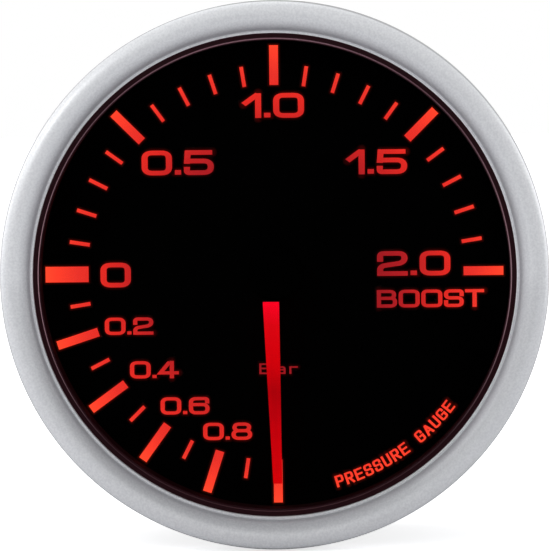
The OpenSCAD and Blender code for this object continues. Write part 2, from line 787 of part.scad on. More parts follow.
// One coil lies along a leg of the stator
module on_leg(side)
    translate([side * leg_x, coil_y - coil_l / 2, stator_z + stator_t / 2]) rotate([-90, 0, 0]) children();
core_room = 1.1;
module leg_hole(l) translate([-leg_w * core_room / 2, -stator_t * core_room / 2, -bobbin_wall - cut])
    cube([leg_w * core_room, stator_t * core_room, l + 2 * (bobbin_wall + cut)]);
bobbin_r = sqrt(leg_w * leg_w + stator_t * stator_t) / 2 * core_room + bobbin_wall;
module coil(side)
    on_leg(side) difference() {
        cylinder(r = coil_d / 2 - slip, h = coil_l, $fn = fine);
        translate([0, 0, -cut]) cylinder(r = bobbin_r + close_slip, h = coil_l + 2 * cut, $fn = fine);
    }
module coil_left() color("#b5562a") place() coil(-1);
module coil_right() color("#b5562a") place() coil(1);
module coil_bobbins() color("#d9d4c4") place()
    for (side = [-1, 1]) on_leg(side) difference() {
        union() {
            cylinder(r = bobbin_r, h = coil_l, $fn = fine);
            for (z = [-bobbin_wall, coil_l]) translate([0, 0, z])
                cylinder(r = coil_d / 2, h = bobbin_wall, $fn = fine);
        }
        leg_hole(coil_l);
    }
module motor_pins() color("#c8b46a") place()
    motor_pin_places()
        disc(motor_pin_r, board1_top + motor_pin_r * 2 - lid_z + layer_gap * 4, lid_z - layer_gap * 4);

// Shaft: from its pivot in the motor's floor to the pointer's hub
module motor_shaft() color("#c9ccd0") place()
    rotate_extrude($fn = fine) polygon([
        [0, motor_inside_z - pivot_l], [pivot_r * 2, motor_inside_z - pivot_l],
        [pivot_r * 2, motor_inside_z + run_slip], [shaft_r, motor_inside_z + run_slip],
        [shaft_r, shaft_top - shaft_r / 4], [shaft_r * 0.75, shaft_top], [0, shaft_top]
    ]);

// Output wheel: moulded rim and hub, with a thinner web between
module output_wheel() color("#e6e2d2") place()
    difference() {
        union() {
            translate([0, 0, out_rim_z]) rotate([0, 0, idler_deg]) wheel_teeth(out_teeth, out_mod, out_rim_t);
            disc(boss_r, out_rim_t + layer_gap, out_rim_z - layer_gap / 2);
        }
        bore(shaft_r + close_slip / 2, out_rim_t + 2 * layer_gap, out_rim_z - layer_gap);
        for (z = [out_rim_z - cut, out_rim_z + out_rim_t * 0.75])
            ring(out_tip_r * 0.82, boss_r * 1.3, out_rim_t / 4 + cut, z);
    }

module pointer_hub() color("#b08d3c") place() ring(hub_r, shaft_r + close_slip / 2, shaft_top - hub_z, hub_z);

// Blade: one taper from a wide root to the tip, pointing down, on a round root disc
module pointer_blade() color("#e01020") place()
    difference() {
        translate([0, 0, blade_z]) union() {
            linear_extrude(blade_t) polygon([
                [-root_wide, 0], [-tip_w / 2, -tip_r], [tip_w / 2, -tip_r], [root_straight, 0]
            ]);
            cylinder(r = root_r, h = blade_t, $fn = fine);
        }
        bore(hub_r + close_slip / 2, blade_t, blade_z);
    }

// Cap: black domed cover with a pocket for the end of the hub
module hub_cap() color("#080808") place()
    difference() {
        rotate_extrude($fn = fine) {
            translate([cap_r - cap_roof, blade_top + cap_h - cap_roof]) intersection() {
                circle(r = cap_roof, $fn = fine);
                square(cap_roof);
            }
            translate([0, blade_top]) square([cap_r - cap_roof, cap_h]);
            translate([0, blade_top]) square([cap_r, cap_h - cap_roof]);
        }
        bore(hub_r + slip, cap_lip + slip, blade_top - cut);
    }

// Steel arbors: pivots, body and cut leaves in one piece
module arbor(leaf_mod, leaf_z, leaf_h)
    union() {
        translate([0, 0, leaf_z]) pinion_leaves(leaf_mod, leaf_h);
        disc(pivot_r, lid_z - motor_inside_z + 2 * pivot_l, motor_inside_z - pivot_l);
        disc(arbor_r, leaf_z - motor_inside_z - run_slip, motor_inside_z + run_slip);
    }
module idler_arbor() color("#a9adb2") place()
    at_idler() rotate([0, 0, idler_deg + 180 + 180 / leaves])
        arbor(out_mod, out_rim_z - leaf_over, out_rim_t + 2 * leaf_over);
module idler_wheel() color("#e6e2d2") place()
    at_idler() difference() {
        union() {
            translate([0, 0, idler_rim_z]) rotate([0, 0, rotor_deg])
                wheel_teeth(idler_teeth, rotor_mod, idler_rim_t);
            disc(arbor_r * 2.6, idler_rim_t + layer_gap, idler_rim_z - layer_gap);
        }
        bore(arbor_r + close_slip / 2, idler_rim_t + layer_gap, idler_rim_z - layer_gap);
    }
module rotor_arbor() color("#a9adb2") place()
    at_rotor() rotate([0, 0, rotor_deg + 180 + 180 / leaves])
        arbor(rotor_mod, idler_rim_z - leaf_over, idler_rim_t + 2 * leaf_over);
module rotor_magnet() color("#4a4d52") place()
    at_rotor() ring(magnet_r, arbor_r + close_slip / 2, magnet_h, magnet_z);

case();
rear_cover();
cover_seal();
cover_screws();
mounting_studs();
bezel();
lens();
lens_gasket();
shroud_ring();
dial_plate();
colour_film();
light_guide();
light_box();
dial_leds();
hub_leds();
front_board();
board_spacers();
board_screws();
board_header();
header_pins();
main_board();
microcontroller();
voltage_regulator();
capacitors();
buzzer();
power_socket();
power_pins();
sensor_socket();
sensor_pins();
motor_base();
motor_lid();
stator();
coil_bobbins();
coil_left();
coil_right();
motor_pins();
motor_shaft();
output_wheel();
pointer_hub();
pointer_blade();
hub_cap();
idler_arbor();
idler_wheel();
rotor_arbor();
rotor_magnet();
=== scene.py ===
import math

import bmesh
import bpy
import numpy as np
from mathutils import Matrix, Vector


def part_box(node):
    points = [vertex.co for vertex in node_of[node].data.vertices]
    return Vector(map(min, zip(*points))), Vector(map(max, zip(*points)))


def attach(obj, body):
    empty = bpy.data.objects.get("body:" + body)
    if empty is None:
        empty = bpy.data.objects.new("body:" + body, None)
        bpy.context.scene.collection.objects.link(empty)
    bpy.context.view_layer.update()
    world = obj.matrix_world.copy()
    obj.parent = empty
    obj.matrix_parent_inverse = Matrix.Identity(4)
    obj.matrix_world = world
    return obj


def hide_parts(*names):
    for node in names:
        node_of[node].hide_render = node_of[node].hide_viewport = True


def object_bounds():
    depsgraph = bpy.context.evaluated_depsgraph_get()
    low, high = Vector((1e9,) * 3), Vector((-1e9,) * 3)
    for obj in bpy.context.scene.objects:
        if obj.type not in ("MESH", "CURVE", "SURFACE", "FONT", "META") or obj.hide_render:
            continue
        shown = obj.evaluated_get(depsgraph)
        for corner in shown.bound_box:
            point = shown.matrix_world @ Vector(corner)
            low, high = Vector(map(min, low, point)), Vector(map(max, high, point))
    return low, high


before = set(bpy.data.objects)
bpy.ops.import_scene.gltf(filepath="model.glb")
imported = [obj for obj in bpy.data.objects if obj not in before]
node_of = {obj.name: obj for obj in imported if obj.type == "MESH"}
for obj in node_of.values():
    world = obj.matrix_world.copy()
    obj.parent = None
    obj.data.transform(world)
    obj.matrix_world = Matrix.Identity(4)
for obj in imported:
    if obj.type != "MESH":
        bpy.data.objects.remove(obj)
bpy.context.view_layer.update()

# Case
# Barrel that passes through the panel, with a stepped neck for the bezel. It is injection moulded
# in black glass-filled nylon, in a spark-eroded tool, so it has a fine even grain and a low sheen.
MM = 0.001
CASE_BLACK = "#1b1b1d"
CASE_ROUGHNESS = 0.52
# Width and depth in mm of the grain that an eroded tool leaves on a moulding
MOULD_GRAIN, MOULD_DEPTH = 0.22, 0.006


def linear(colour):
    """The linear colour of an sRGB hex value."""
    parts = [int(colour[i:i + 2], 16) / 255 for i in (1, 3, 5)]
    return (*[c / 12.92 if c <= 0.04045 else ((c + 0.055) / 1.055) ** 2.4 for c in parts], 1)


def add(tree, kind, inputs=(), stops=(), **settings):
    """Adds a node with its settings. An input is given a plain value, the socket that feeds it, or
    the node whose first output does. A colour ramp's stops are pairs of place and hex value."""
    made = tree.nodes.new(kind)
    for name, value in settings.items():
        setattr(made, name, value)
    for name, value in dict(inputs).items():
        if isinstance(value, bpy.types.Node):
            value = value.outputs[0]
        if isinstance(value, bpy.types.NodeSocket):
            tree.links.new(value, made.inputs[name])
        else:
            made.inputs[name].default_value = value
    for _ in stops[2:]:
        made.color_ramp.elements.new(0.5)
    for k, (place, colour) in enumerate(stops):
        made.color_ramp.elements[k].position = place
        made.color_ramp.elements[k].color = linear(colour)
    return made


def empty_material(name):
    """A material with nothing in it yet, and its node tree."""
    made = bpy.data.materials.new(name)
    made.use_nodes = True
    made.node_tree.nodes.clear()
    return made, made.node_tree


def finish(name, colour, roughness, grain=MOULD_GRAIN, depth=MOULD_DEPTH, patch=4.0, fade=0.18,
           wander=0.12, stretch=(1, 1, 1), **sockets):
    """A plain finish: a grain of the given size and depth in mm, and slow changes of tone over a
    patch in mm. Stretch draws the grain out along an axis, as turning or drawing marks are."""
    made, tree = empty_material(name)
    place = add(tree, "ShaderNodeTexCoord").outputs["Object"]
    drawn = add(tree, "ShaderNodeMapping", {"Vector": place, "Scale": stretch})
    fine = add(tree, "ShaderNodeTexNoise", {"Vector": drawn, "Scale": 1 / (grain * MM),
                                            "Detail": 3.0})
    slow = add(tree, "ShaderNodeTexNoise", {"Vector": place, "Scale": 1 / (patch * MM),
                                            "Detail": 2.0})
    dark = [c * (1 - fade) for c in linear(colour)[:3]] + [1]
    tone = add(tree, "ShaderNodeMix", {"Factor": slow}, data_type="RGBA")
    for socket, value in zip([s for s in tone.inputs if s.type == "RGBA"], (dark, linear(colour))):
        socket.default_value = value
    tint = [s for s in tone.outputs if s.type == "RGBA"][0]
    rough = add(tree, "ShaderNodeMapRange", {"Value": fine, "To Min": max(roughness - wander, 0.02),
                                             "To Max": roughness + wander})
    relief = add(tree, "ShaderNodeBump", {"Height": fine, "Distance": depth * MM})
    body = add(tree, "ShaderNodeBsdfPrincipled", {"Base Color": tint, "Roughness": rough,
                                                  "Normal": relief, **sockets})
    add(tree, "ShaderNodeOutputMaterial", {"Surface": body})
    return made


def dress(material, *names):
    """Gives CAD nodes a material."""
    for name in names:
        node_of[name].data.materials.clear()
        node_of[name].data.materials.append(material)


# Glass-filled nylon, moulded: nearly black, with a low sheen and a fine sparkle-free grain
nylon_black = finish("GlassFilledNylonMoulded", CASE_BLACK, CASE_ROUGHNESS)
dress(nylon_black, "case")

# Bezel
# Crowned ring that clamps the lens, spun from aluminium and sprayed with silver paint. The flakes
# give it a fine grain and a wide soft highlight. It is drawn here on finer steps than the CAD's,
# with a wider outer roll.
BEZEL_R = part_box("bezel")[1].x
BEZEL_FRONT = -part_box("bezel")[0].y
ROLL_DEEP = 1.05 * MM
ROLL_WIDE = 1.4 * MM
CROWN_RISE = 1.6 * MM
LIP_TOP = BEZEL_FRONT - CROWN_RISE
LIP_THICK = 0.9 * MM
FLANGE_TOP = LIP_TOP - LIP_THICK
OPENING_R = 28.45 * MM
BORE_R = 29.6 * MM
SEAT_R = 30.2 * MM
FOOT = 0.375 * MM
BEAD_R = LIP_THICK / 6
LEDGE = LIP_THICK / 3
LEDGE_OUT, LEDGE_DOWN = 1.6 * BEAD_R, 0.35 * BEAD_R
BEAD_START = 75
ROLL_STEPS, CROWN_STEPS, BEAD_STEPS = 18, 22, 6
ROUND_STEPS = 384
# Points nearer than this, in metres, are one
SAME_POINT = 1e-8


def arc(centre, radius, start, end, steps):
    """Points on an arc, from one angle to another in degrees."""
    turns = [math.radians(start + (end - start) * i / steps) for i in range(steps + 1)]
    return [(centre[0] + radius * math.cos(t), centre[1] + radius * math.sin(t)) for t in turns]


def shaded(mesh, material, smooth):
    """Smooth shading up to an angle in degrees, and the mesh's one material."""
    mesh.polygons.foreach_set("use_smooth", [True] * len(mesh.polygons))
    mesh.polygons.foreach_set("material_index", [0] * len(mesh.polygons))
    mesh.set_sharp_from_angle(angle=math.radians(smooth))
    mesh.materials.append(material)


def placed(name, data):
    """An object in the scene that holds a mesh, a lamp or a camera."""
    made = bpy.data.objects.new(name, data)
    bpy.context.scene.collection.objects.link(made)
    return made


def plain_mesh(points, faces):
    """A mesh of points and faces alone."""
    mesh = bpy.data.meshes.new("part")
    mesh.from_pydata(points, [], faces)
    return mesh


def piece(name, points, faces, material, body="housing", smooth=30, glows=()):
    """A finished piece: its mesh with normals outwards, its material, and the body it rides on.
    Glows are values for the points, kept as the glow attribute."""
    mesh = plain_mesh(points, faces)
    mesh.name = name
    work = bmesh.new()
    work.from_mesh(mesh)
    if glows:
        level = work.verts.layers.float.new("glow")
        for vert, value in zip(work.verts, glows):
            vert[level] = value
    bmesh.ops.remove_doubles(work, verts=work.verts, dist=SAME_POINT)
    bmesh.ops.recalc_face_normals(work, faces=work.faces)
    work.to_mesh(mesh)
    work.free()
    shaded(mesh, material, smooth)
    made = placed(name, mesh)
    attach(made, body)
    return made


def wrapped(rings, n):
    """Faces between closed rings of n points, the last ring joined to the first."""
    return [(k * n + i, k * n + (i + 1) % n, (k + 1) % rings * n + (i + 1) % n,
             (k + 1) % rings * n + i) for k in range(rings) for i in range(n)]


def lathe(profile, steps=ROUND_STEPS, centre=(0, 0)):
    """Points and faces of a closed profile of (radius, height to the viewer), turned round Y."""
    turns = [2 * math.pi * k / steps for k in range(steps)]
    turned = [(centre[0] + r * math.cos(t), -h, centre[1] + r * math.sin(t))
              for t in turns for r, h in profile]
    return turned, wrapped(steps, len(profile))


def from_axis(tree):
    """Distance from the gauge's axis."""
    place = add(tree, "ShaderNodeTexCoord").outputs["Object"]
    flat = add(tree, "ShaderNodeVectorMath", {0: place, 1: (1, 0, 1)}, operation="MULTIPLY")
    return add(tree, "ShaderNodeVectorMath", {0: flat}, operation="LENGTH").outputs["Value"]


def shader_of(material):
    """The node tree of a material, and the shader in it."""
    tree = material.node_tree
    return tree, next(n for n in tree.nodes if n.type == "BSDF_PRINCIPLED")


crown_r = BEZEL_R - ROLL_WIDE
crown_run = crown_r - OPENING_R - LEDGE
crown_arc = (crown_run ** 2 + CROWN_RISE ** 2) / (2 * CROWN_RISE)
crown_end = 90 + math.degrees(math.asin(crown_run / crown_arc))
roll = [(crown_r + ROLL_WIDE / ROLL_DEEP * r, BEZEL_FRONT - ROLL_DEEP + h)
        for r, h in arc((0, 0), ROLL_DEEP, 0, 90, ROLL_STEPS)]
bezel_profile = [
    (SEAT_R, 0), (BEZEL_R - FOOT, 0), (BEZEL_R, FOOT), *roll,
    *arc((crown_r, BEZEL_FRONT - crown_arc), crown_arc, 90, crown_end, CROWN_STEPS)[1:],
    (OPENING_R + LEDGE_OUT, LIP_TOP - LEDGE_DOWN),
    *arc((OPENING_R + BEAD_R, LIP_TOP - BEAD_R), BEAD_R, BEAD_START, 180, BEAD_STEPS),
    (OPENING_R, FLANGE_TOP), (BORE_R, FLANGE_TOP), (BORE_R, SEAT_R - BORE_R),
]
# Silver flake paint, sprayed on aluminium: satin, with flakes a few hundredths of a millimetre
# wide, drawn five to ten times as coarse so that they show as a fine uneven tone
FLAKE = 0.2
SPECK = 0.24
silver_paint = finish("SilverFlakePaintSprayed", "#e9eaec", 0.42, grain=FLAKE, depth=0.014,
                      patch=9.0, fade=0.05, wander=0.1, Metallic=0.3)
tree, coat = shader_of(silver_paint)
place = add(tree, "ShaderNodeTexCoord").outputs["Object"]
specks = add(tree, "ShaderNodeTexNoise", {"Vector": place, "Scale": 1 / (SPECK * MM),
                                          "Detail": 2.0})
SPECK_TONES = [(0.35, "#f2f2f3"), (0.65, "#ffffff")]
speckled = add(tree, "ShaderNodeValToRGB", {"Fac": specks}, SPECK_TONES)
# Painted shade: the last millimetre of the slope, down by the lens, is painted greyer where the
# recess shades it, and the rolled bead at the lip itself is left bright
SHADE_OUT_TO = 30.2 * MM
LIP_SHADE_TONES = [(0, "#ffffff"), (0.15, "#ffffff"), (0.22, "#cbcbce"), (0.32, "#cdcdd0"),
             (0.66, "#eeeeef"), (1, "#ffffff")]
outwards = add(tree, "ShaderNodeMapRange", {"Value": from_axis(tree), "From Min": OPENING_R,
                                            "From Max": SHADE_OUT_TO})
lens_side_shade = add(tree, "ShaderNodeValToRGB", {"Fac": outwards}, LIP_SHADE_TONES)
# The ring's outer edge is painted darker where it is seen at a low angle: partly the real flop of
# flakes that lie flat in the coat, partly painted shade along the edge
OUTER_FROM = 31.5 * MM
slant = add(tree, "ShaderNodeLayerWeight", {"Blend": 0.5}).outputs["Facing"]
outer = add(tree, "ShaderNodeMath", {0: from_axis(tree), 1: OUTER_FROM}, operation="GREATER_THAN")
low = add(tree, "ShaderNodeMath", {0: slant, 1: outer}, operation="MULTIPLY")
EDGE_TONES = [(0, "#ffffff"), (0.5, "#ffffff"), (0.85, "#9c9c9e")]
edge_flop_and_shade = add(tree, "ShaderNodeValToRGB", {"Fac": low}, EDGE_TONES)
tone = coat.inputs["Base Color"].links[0].from_socket
for share in (speckled, lens_side_shade, edge_flop_and_shade):
    tone = add(tree, "ShaderNodeVectorMath", {0: tone, 1: share}, operation="MULTIPLY")
tree.links.new(tone.outputs["Vector"], coat.inputs["Base Color"])
bezel_ring = piece("bezel_ring", *lathe(bezel_profile), silver_paint)
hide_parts("bezel")

# Lens, gasket and shroud
# The lens is turned and polished clear acrylic with a raised face; its coating keeps reflections
# low. It sits on a rubber gasket. A faint red glow is painted on the shroud and the lens's edge,
# for the dial's light that runs along them.
LENS_IOR = 1.49
LENS_FACE_R = 27.63 * MM
LINE_R, LINE_HALF = 27.83 * MM, 0.07 * MM
lens_clear, tree = empty_material("AcrylicPolishedCoated")
glass = add(tree, "ShaderNodeBsdfPrincipled", {"Base Color": linear("#ffffff"), "Roughness": 0.0,
                                               "IOR": LENS_IOR, "Transmission Weight": 1.0,
                                               "Specular IOR Level": 0.16})
# Light reaches the dial straight through the lens, without the noise of its bent rays
clear = add(tree, "ShaderNodeBsdfTransparent", {"Color": linear("#f4f4f4")})
path = add(tree, "ShaderNodeLightPath")
either = add(tree, "ShaderNodeMixShader", {0: path.outputs["Is Shadow Ray"], 1: glass, 2: clear})
# The bevel is left satin by the tool. Where it catches the room it carries a painted reflection,
# a narrow line set by height: brightest at both sides, darkest at the bottom. The flange below it
# is satin too, dark over the black gasket. Both carry a faint painted red glow for the dial's
# light.
BEVEL_REFLECTION_TONES = [(0, "#4c3236"), (0.15, "#33242a"), (0.5, "#b8929a"), (0.85, "#745860"),
              (1, "#96727c")]
place = add(tree, "ShaderNodeTexCoord").outputs["Object"]
height = add(tree, "ShaderNodeSeparateXYZ", {"Vector": place}).outputs["Z"]
upwards = add(tree, "ShaderNodeMapRange", {"Value": height, "From Min": -LENS_FACE_R,
                                           "From Max": LENS_FACE_R})
line = add(tree, "ShaderNodeValToRGB", {"Fac": upwards}, BEVEL_REFLECTION_TONES)
bevel = add(tree, "ShaderNodeBsdfPrincipled", {
    "Base Color": line, "Roughness": 0.45, "Specular IOR Level": 0.2,
    "Emission Color": linear("#140406"), "Emission Strength": 1.0})
flange = add(tree, "ShaderNodeBsdfPrincipled", {
    "Base Color": linear("#0a0305"), "Roughness": 0.6, "Specular IOR Level": 0.1,
    "Emission Color": linear("#190509"), "Emission Strength": 1.0})
across = from_axis(tree)
past_face = add(tree, "ShaderNodeMath", {0: across, 1: LENS_FACE_R}, operation="GREATER_THAN")
on_line = add(tree, "ShaderNodeMath", {0: across, 1: LINE_R, 2: LINE_HALF}, operation="COMPARE")
edge = add(tree, "ShaderNodeMixShader", {0: on_line, 1: flange, 2: bevel})
whole = add(tree, "ShaderNodeMixShader", {0: past_face, 1: either, 2: edge})
add(tree, "ShaderNodeOutputMaterial", {"Surface": whole})
dress(lens_clear, "lens")

# Rubber, moulded: dull black with a soft bloom
rubber = finish("NitrileRubberMoulded", "#0d0d0d", 0.72, grain=0.12, depth=0.004)
dress(rubber, "lens_gasket", "cover_seal")


def lit(name, stops, place_of, strength=1.0, base="#1a0204", roughness=0.55):
    """A lit material: its colour runs through the stops, pairs of place in mm and hex value, by
    the length that place_of measures."""
    made, tree = empty_material(name)
    far = stops[-1][0]
    scaled = add(tree, "ShaderNodeMapRange", {"Value": place_of(tree), "From Max": far * MM})
    shares = [(at / far, colour) for at, colour in stops]
    shade = add(tree, "ShaderNodeValToRGB", {"Fac": scaled}, shares)
    body = add(tree, "ShaderNodeBsdfPrincipled", {
        "Base Color": linear(base), "Roughness": roughness, "Specular IOR Level": 0.03,
        "Emission Color": shade, "Emission Strength": strength})
    add(tree, "ShaderNodeOutputMaterial", {"Surface": body})
    return made


def up_the_gauge(tree):
    """Height from the bottom of the dial."""
    place = add(tree, "ShaderNodeTexCoord").outputs["Object"]
    height = add(tree, "ShaderNodeSeparateXYZ", {"Vector": place}).outputs["Z"]
    return add(tree, "ShaderNodeMath", {0: height, 1: DIAL_R}, operation="ADD")


DIAL_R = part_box("dial_plate")[1].x
# Matt black nylon with a painted red glow along its front edge, most at the top where the scale is
# brightest
SHROUD_GLOW_STOPS = [(0, "#0c0102"), (28, "#120203"), (52, "#220405"), (56.4, "#2c0506")]
shroud_painted_glow = lit("NylonShroudPaintedGlow", SHROUD_GLOW_STOPS, up_the_gauge, base="#050505", roughness=0.8)
dress(shroud_painted_glow, "shroud_ring")

# Dial
# Polycarbonate plate printed with dense matt black ink. The marks are open windows over a red film
# that the light guide lights from behind, so they glow, and a faint red glow is painted on the ink
# round them.
INK = "#030303"
BACKLIGHT = 1.25
# How far in mm the painted glow reaches round a sign, its strength at a sign's edge, and how fast
# it falls
GLOW_REACH, GLOW_AT_EDGE, GLOW_FALL = 0.34, 0.06, 1.6
RED_BY_RADIUS = [(0, "#5a0a10"), (8, "#7a1016"), (11.5, "#8c161c"), (15, "#a01a1e"),
                 (20.5, "#d2261f"), (23.5, "#dc2f26"), (26, "#f03b28"), (28.2, "#ff4a2c")]
NO_SHEEN = {"Specular IOR Level": 0.0}
# Screen ink: dead black, with no sheen under the lens
ink_black = finish("BlackInkScreenPrinted", INK, 0.6, grain=0.08, depth=0.001, fade=0.3, **NO_SHEEN)
dress(ink_black, "dial_plate")
# Red polyester film, backlit: even colour, brighter towards the LEDs near the rim
film_lit = lit("RedFilmBacklit", RED_BY_RADIUS, from_axis, strength=BACKLIGHT)
dress(film_lit, "colour_film")

# Ink round a sign with a painted red glow: strongest at the sign's edge, gone a third of a
# millimetre out. The glow attribute holds how near the edge a point is.
glow, tree = empty_material("BlackInkPaintedGlow")
far = RED_BY_RADIUS[-1][0]
spread = add(tree, "ShaderNodeMapRange", {"Value": from_axis(tree), "From Max": far * MM})
red_shares = [(at / far, colour) for at, colour in RED_BY_RADIUS]
shade = add(tree, "ShaderNodeValToRGB", {"Fac": spread}, red_shares)
near = add(tree, "ShaderNodeAttribute", attribute_name="glow").outputs["Fac"]
soft = add(tree, "ShaderNodeMath", {0: near, 1: GLOW_FALL}, operation="POWER")
level = add(tree, "ShaderNodeMath", {0: soft, 1: GLOW_AT_EDGE}, operation="MULTIPLY")
body = add(tree, "ShaderNodeBsdfPrincipled", {
    "Base Color": linear(INK), "Roughness": 0.6, **NO_SHEEN, "Emission Color": shade,
    "Emission Strength": level})
add(tree, "ShaderNodeOutputMaterial", {"Surface": body})


def start_tree(name, **inputs):
    """A Geometry Nodes tree with inputs of the given kinds, and those inputs."""
    made = bpy.data.node_groups.new(name, "GeometryNodeTree")
    for label, kind in inputs.items():
        made.interface.new_socket(name=label, in_out="INPUT", socket_type="NodeSocket" + kind)
    made.interface.new_socket(name="Geometry", in_out="OUTPUT", socket_type="NodeSocketGeometry")
    return made, add(made, "NodeGroupInput").outputs


def end_tree(tree, shape, material):
    """Ends a tree in a real mesh of one material."""
    plain = add(tree, "GeometryNodeRealizeInstances", {"Geometry": shape})
    painted = add(tree, "GeometryNodeSetMaterial", {"Geometry": plain, "Material": material})
    add(tree, "NodeGroupOutput", {"Geometry": painted})
    return tree


def grown(tree, shape=None, **values):
    """The plain mesh that a tree makes from the given inputs, and from a shape if it takes one."""
    holder = placed("holder", shape or bpy.data.meshes.new("holder"))
    modifier = holder.modifiers.new("grow", "NODES")
    modifier.node_group = tree
    named = {s.name: s.identifier for s in tree.interface.items_tree if s.in_out == "INPUT"}
    for label, value in values.items():
        modifier[named[label]] = value
    bpy.context.view_layer.update()
    settled = holder.evaluated_get(bpy.context.evaluated_depsgraph_get())
    mesh = bpy.data.meshes.new_from_object(settled)
    bpy.data.objects.remove(holder)
    return mesh


def joined(name, meshes, material, body, smooth=30, merge=0):
    """One finished piece from several plain meshes that are already in their places. Points nearer
    than merge become one."""
    work = bmesh.new()
    for mesh in meshes:
        work.from_mesh(mesh)
    if merge:
        bmesh.ops.remove_doubles(work, verts=work.verts, dist=merge)
    bmesh.ops.recalc_face_normals(work, faces=work.faces)
    mesh = bpy.data.meshes.new(name)
    work.to_mesh(mesh)
    work.free()
    shaded(mesh, material, smooth)
    made = placed(name, mesh)
    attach(made, body)
    return made


def round_the_dial():
    """A tree that sets copies of a shape round the dial, from a first turn on by equal steps."""
    made, given = start_tree("round_the_dial", Shape="Geometry", Count="Int", First="Float",
                             Step="Float", Material="Material")
    number = add(made, "GeometryNodeInputIndex")
    turned = add(made, "ShaderNodeMath", {0: number, 1: given["Step"], 2: given["First"]},
                 operation="MULTIPLY_ADD")
    turn = add(made, "ShaderNodeCombineXYZ", {"Y": turned})
    spots = add(made, "GeometryNodePoints", {"Count": given["Count"]})
    copies = add(made, "GeometryNodeInstanceOnPoints", {"Points": spots, "Rotation": turn,
                                                        "Instance": given["Shape"]})
    return end_tree(made, copies, given["Material"])


FRAME_RINGS = [0.0, 0.06, 0.13, 0.22, GLOW_REACH]
FRAME_CLEAR = 0.004
FRAME_HIGH = 0.012
CORNER_TURNS = (0, 22.5, 45, 67.5, 90)


def mark_frame(inner, outer, width):
    """A flat frame round a mark's window at 3 o'clock, in rings that fade away from its edge."""
    corners = [(outer, width / 2, 0), (inner, width / 2, 90), (inner, -width / 2, 180),
               (outer, -width / 2, 270)]
    loop = [(x, z, math.radians(start + turn)) for x, z, start in corners for turn in CORNER_TURNS]
    points = [((x + out * math.cos(a)) * MM, -FRAME_HIGH * MM, (z + out * math.sin(a)) * MM)
              for out in [FRAME_CLEAR + off for off in FRAME_RINGS] for x, z, a in loop]
    n, rings = len(loop), len(FRAME_RINGS)
    mesh = plain_mesh(points, wrapped(rings, n)[:(rings - 1) * n])
    near = [1 - off / GLOW_REACH for off in FRAME_RINGS for _ in loop]
    mesh.attributes.new("glow", "FLOAT", "POINT").data.foreach_set("value", near)
    return mesh


SHEET_THICK = 0.008 * MM


def glow_sheet(made):
    """Finishes a very flat sheet of painted glow that lies on the dial."""
    thick = made.modifiers.new("sheet", "SOLIDIFY")
    thick.thickness = SHEET_THICK
    thick.offset = -1


# The marks: inner and outer radius and width of each kind of opening in the plate, and how far the
# ink reaches over its edge, so that a mark looks narrower than its opening
INK_OVER_LONG, INK_OVER_SHORT = 0.075, 0.085
SHORT_MARK = (22.26, 24.73, 0.6, INK_OVER_SHORT)
HIGH_MARK = (22.18, 26.95, 1.19, INK_OVER_LONG)
LOW_MARK = (22.18, 27.35, 1.19, INK_OVER_LONG)
ZERO_MARK = (22.18, 27.35, 2.0, INK_OVER_LONG)
# Each row of equal marks, in tenths of a bar of 9 degrees each: the first one, the step to the
# next, and how many. The scale ends at 3 o'clock.
TENTH = math.radians(9)
SCALE_END = 20
MARK_ROWS = [(LOW_MARK, -10, 2, 5), (SHORT_MARK, -9, 2, 5), (ZERO_MARK, 0, 1, 1),
             (HIGH_MARK, 5, 5, 4), *[(SHORT_MARK, first, 1, 4) for first in (1, 6, 11, 16)]]
dial_rounds = round_the_dial()
frames = []
for (inner, outer, width, over), first, step, count in MARK_ROWS:
    frame_shape = mark_frame(inner + over / 2, outer - over / 2, width - 2 * over)
    frames.append(grown(dial_rounds, frame_shape, Count=count, First=TENTH * (first - SCALE_END),
                        Step=TENTH * step, Material=glow))
glow_sheet(joined("mark_glow", frames, glow, "housing"))

# Numbers and words
# They are windows in the ink too, filled with red varnish. A sign is drawn in wide strokes with
# rounded corners, each along its middle line in a box from 0 to 1. Level strokes are thinner than
# upright ones, so a sign is drawn too tall and then flattened.
SIGN_LOW, SIGN_HIGH = 0.006 * MM, 0.04 * MM
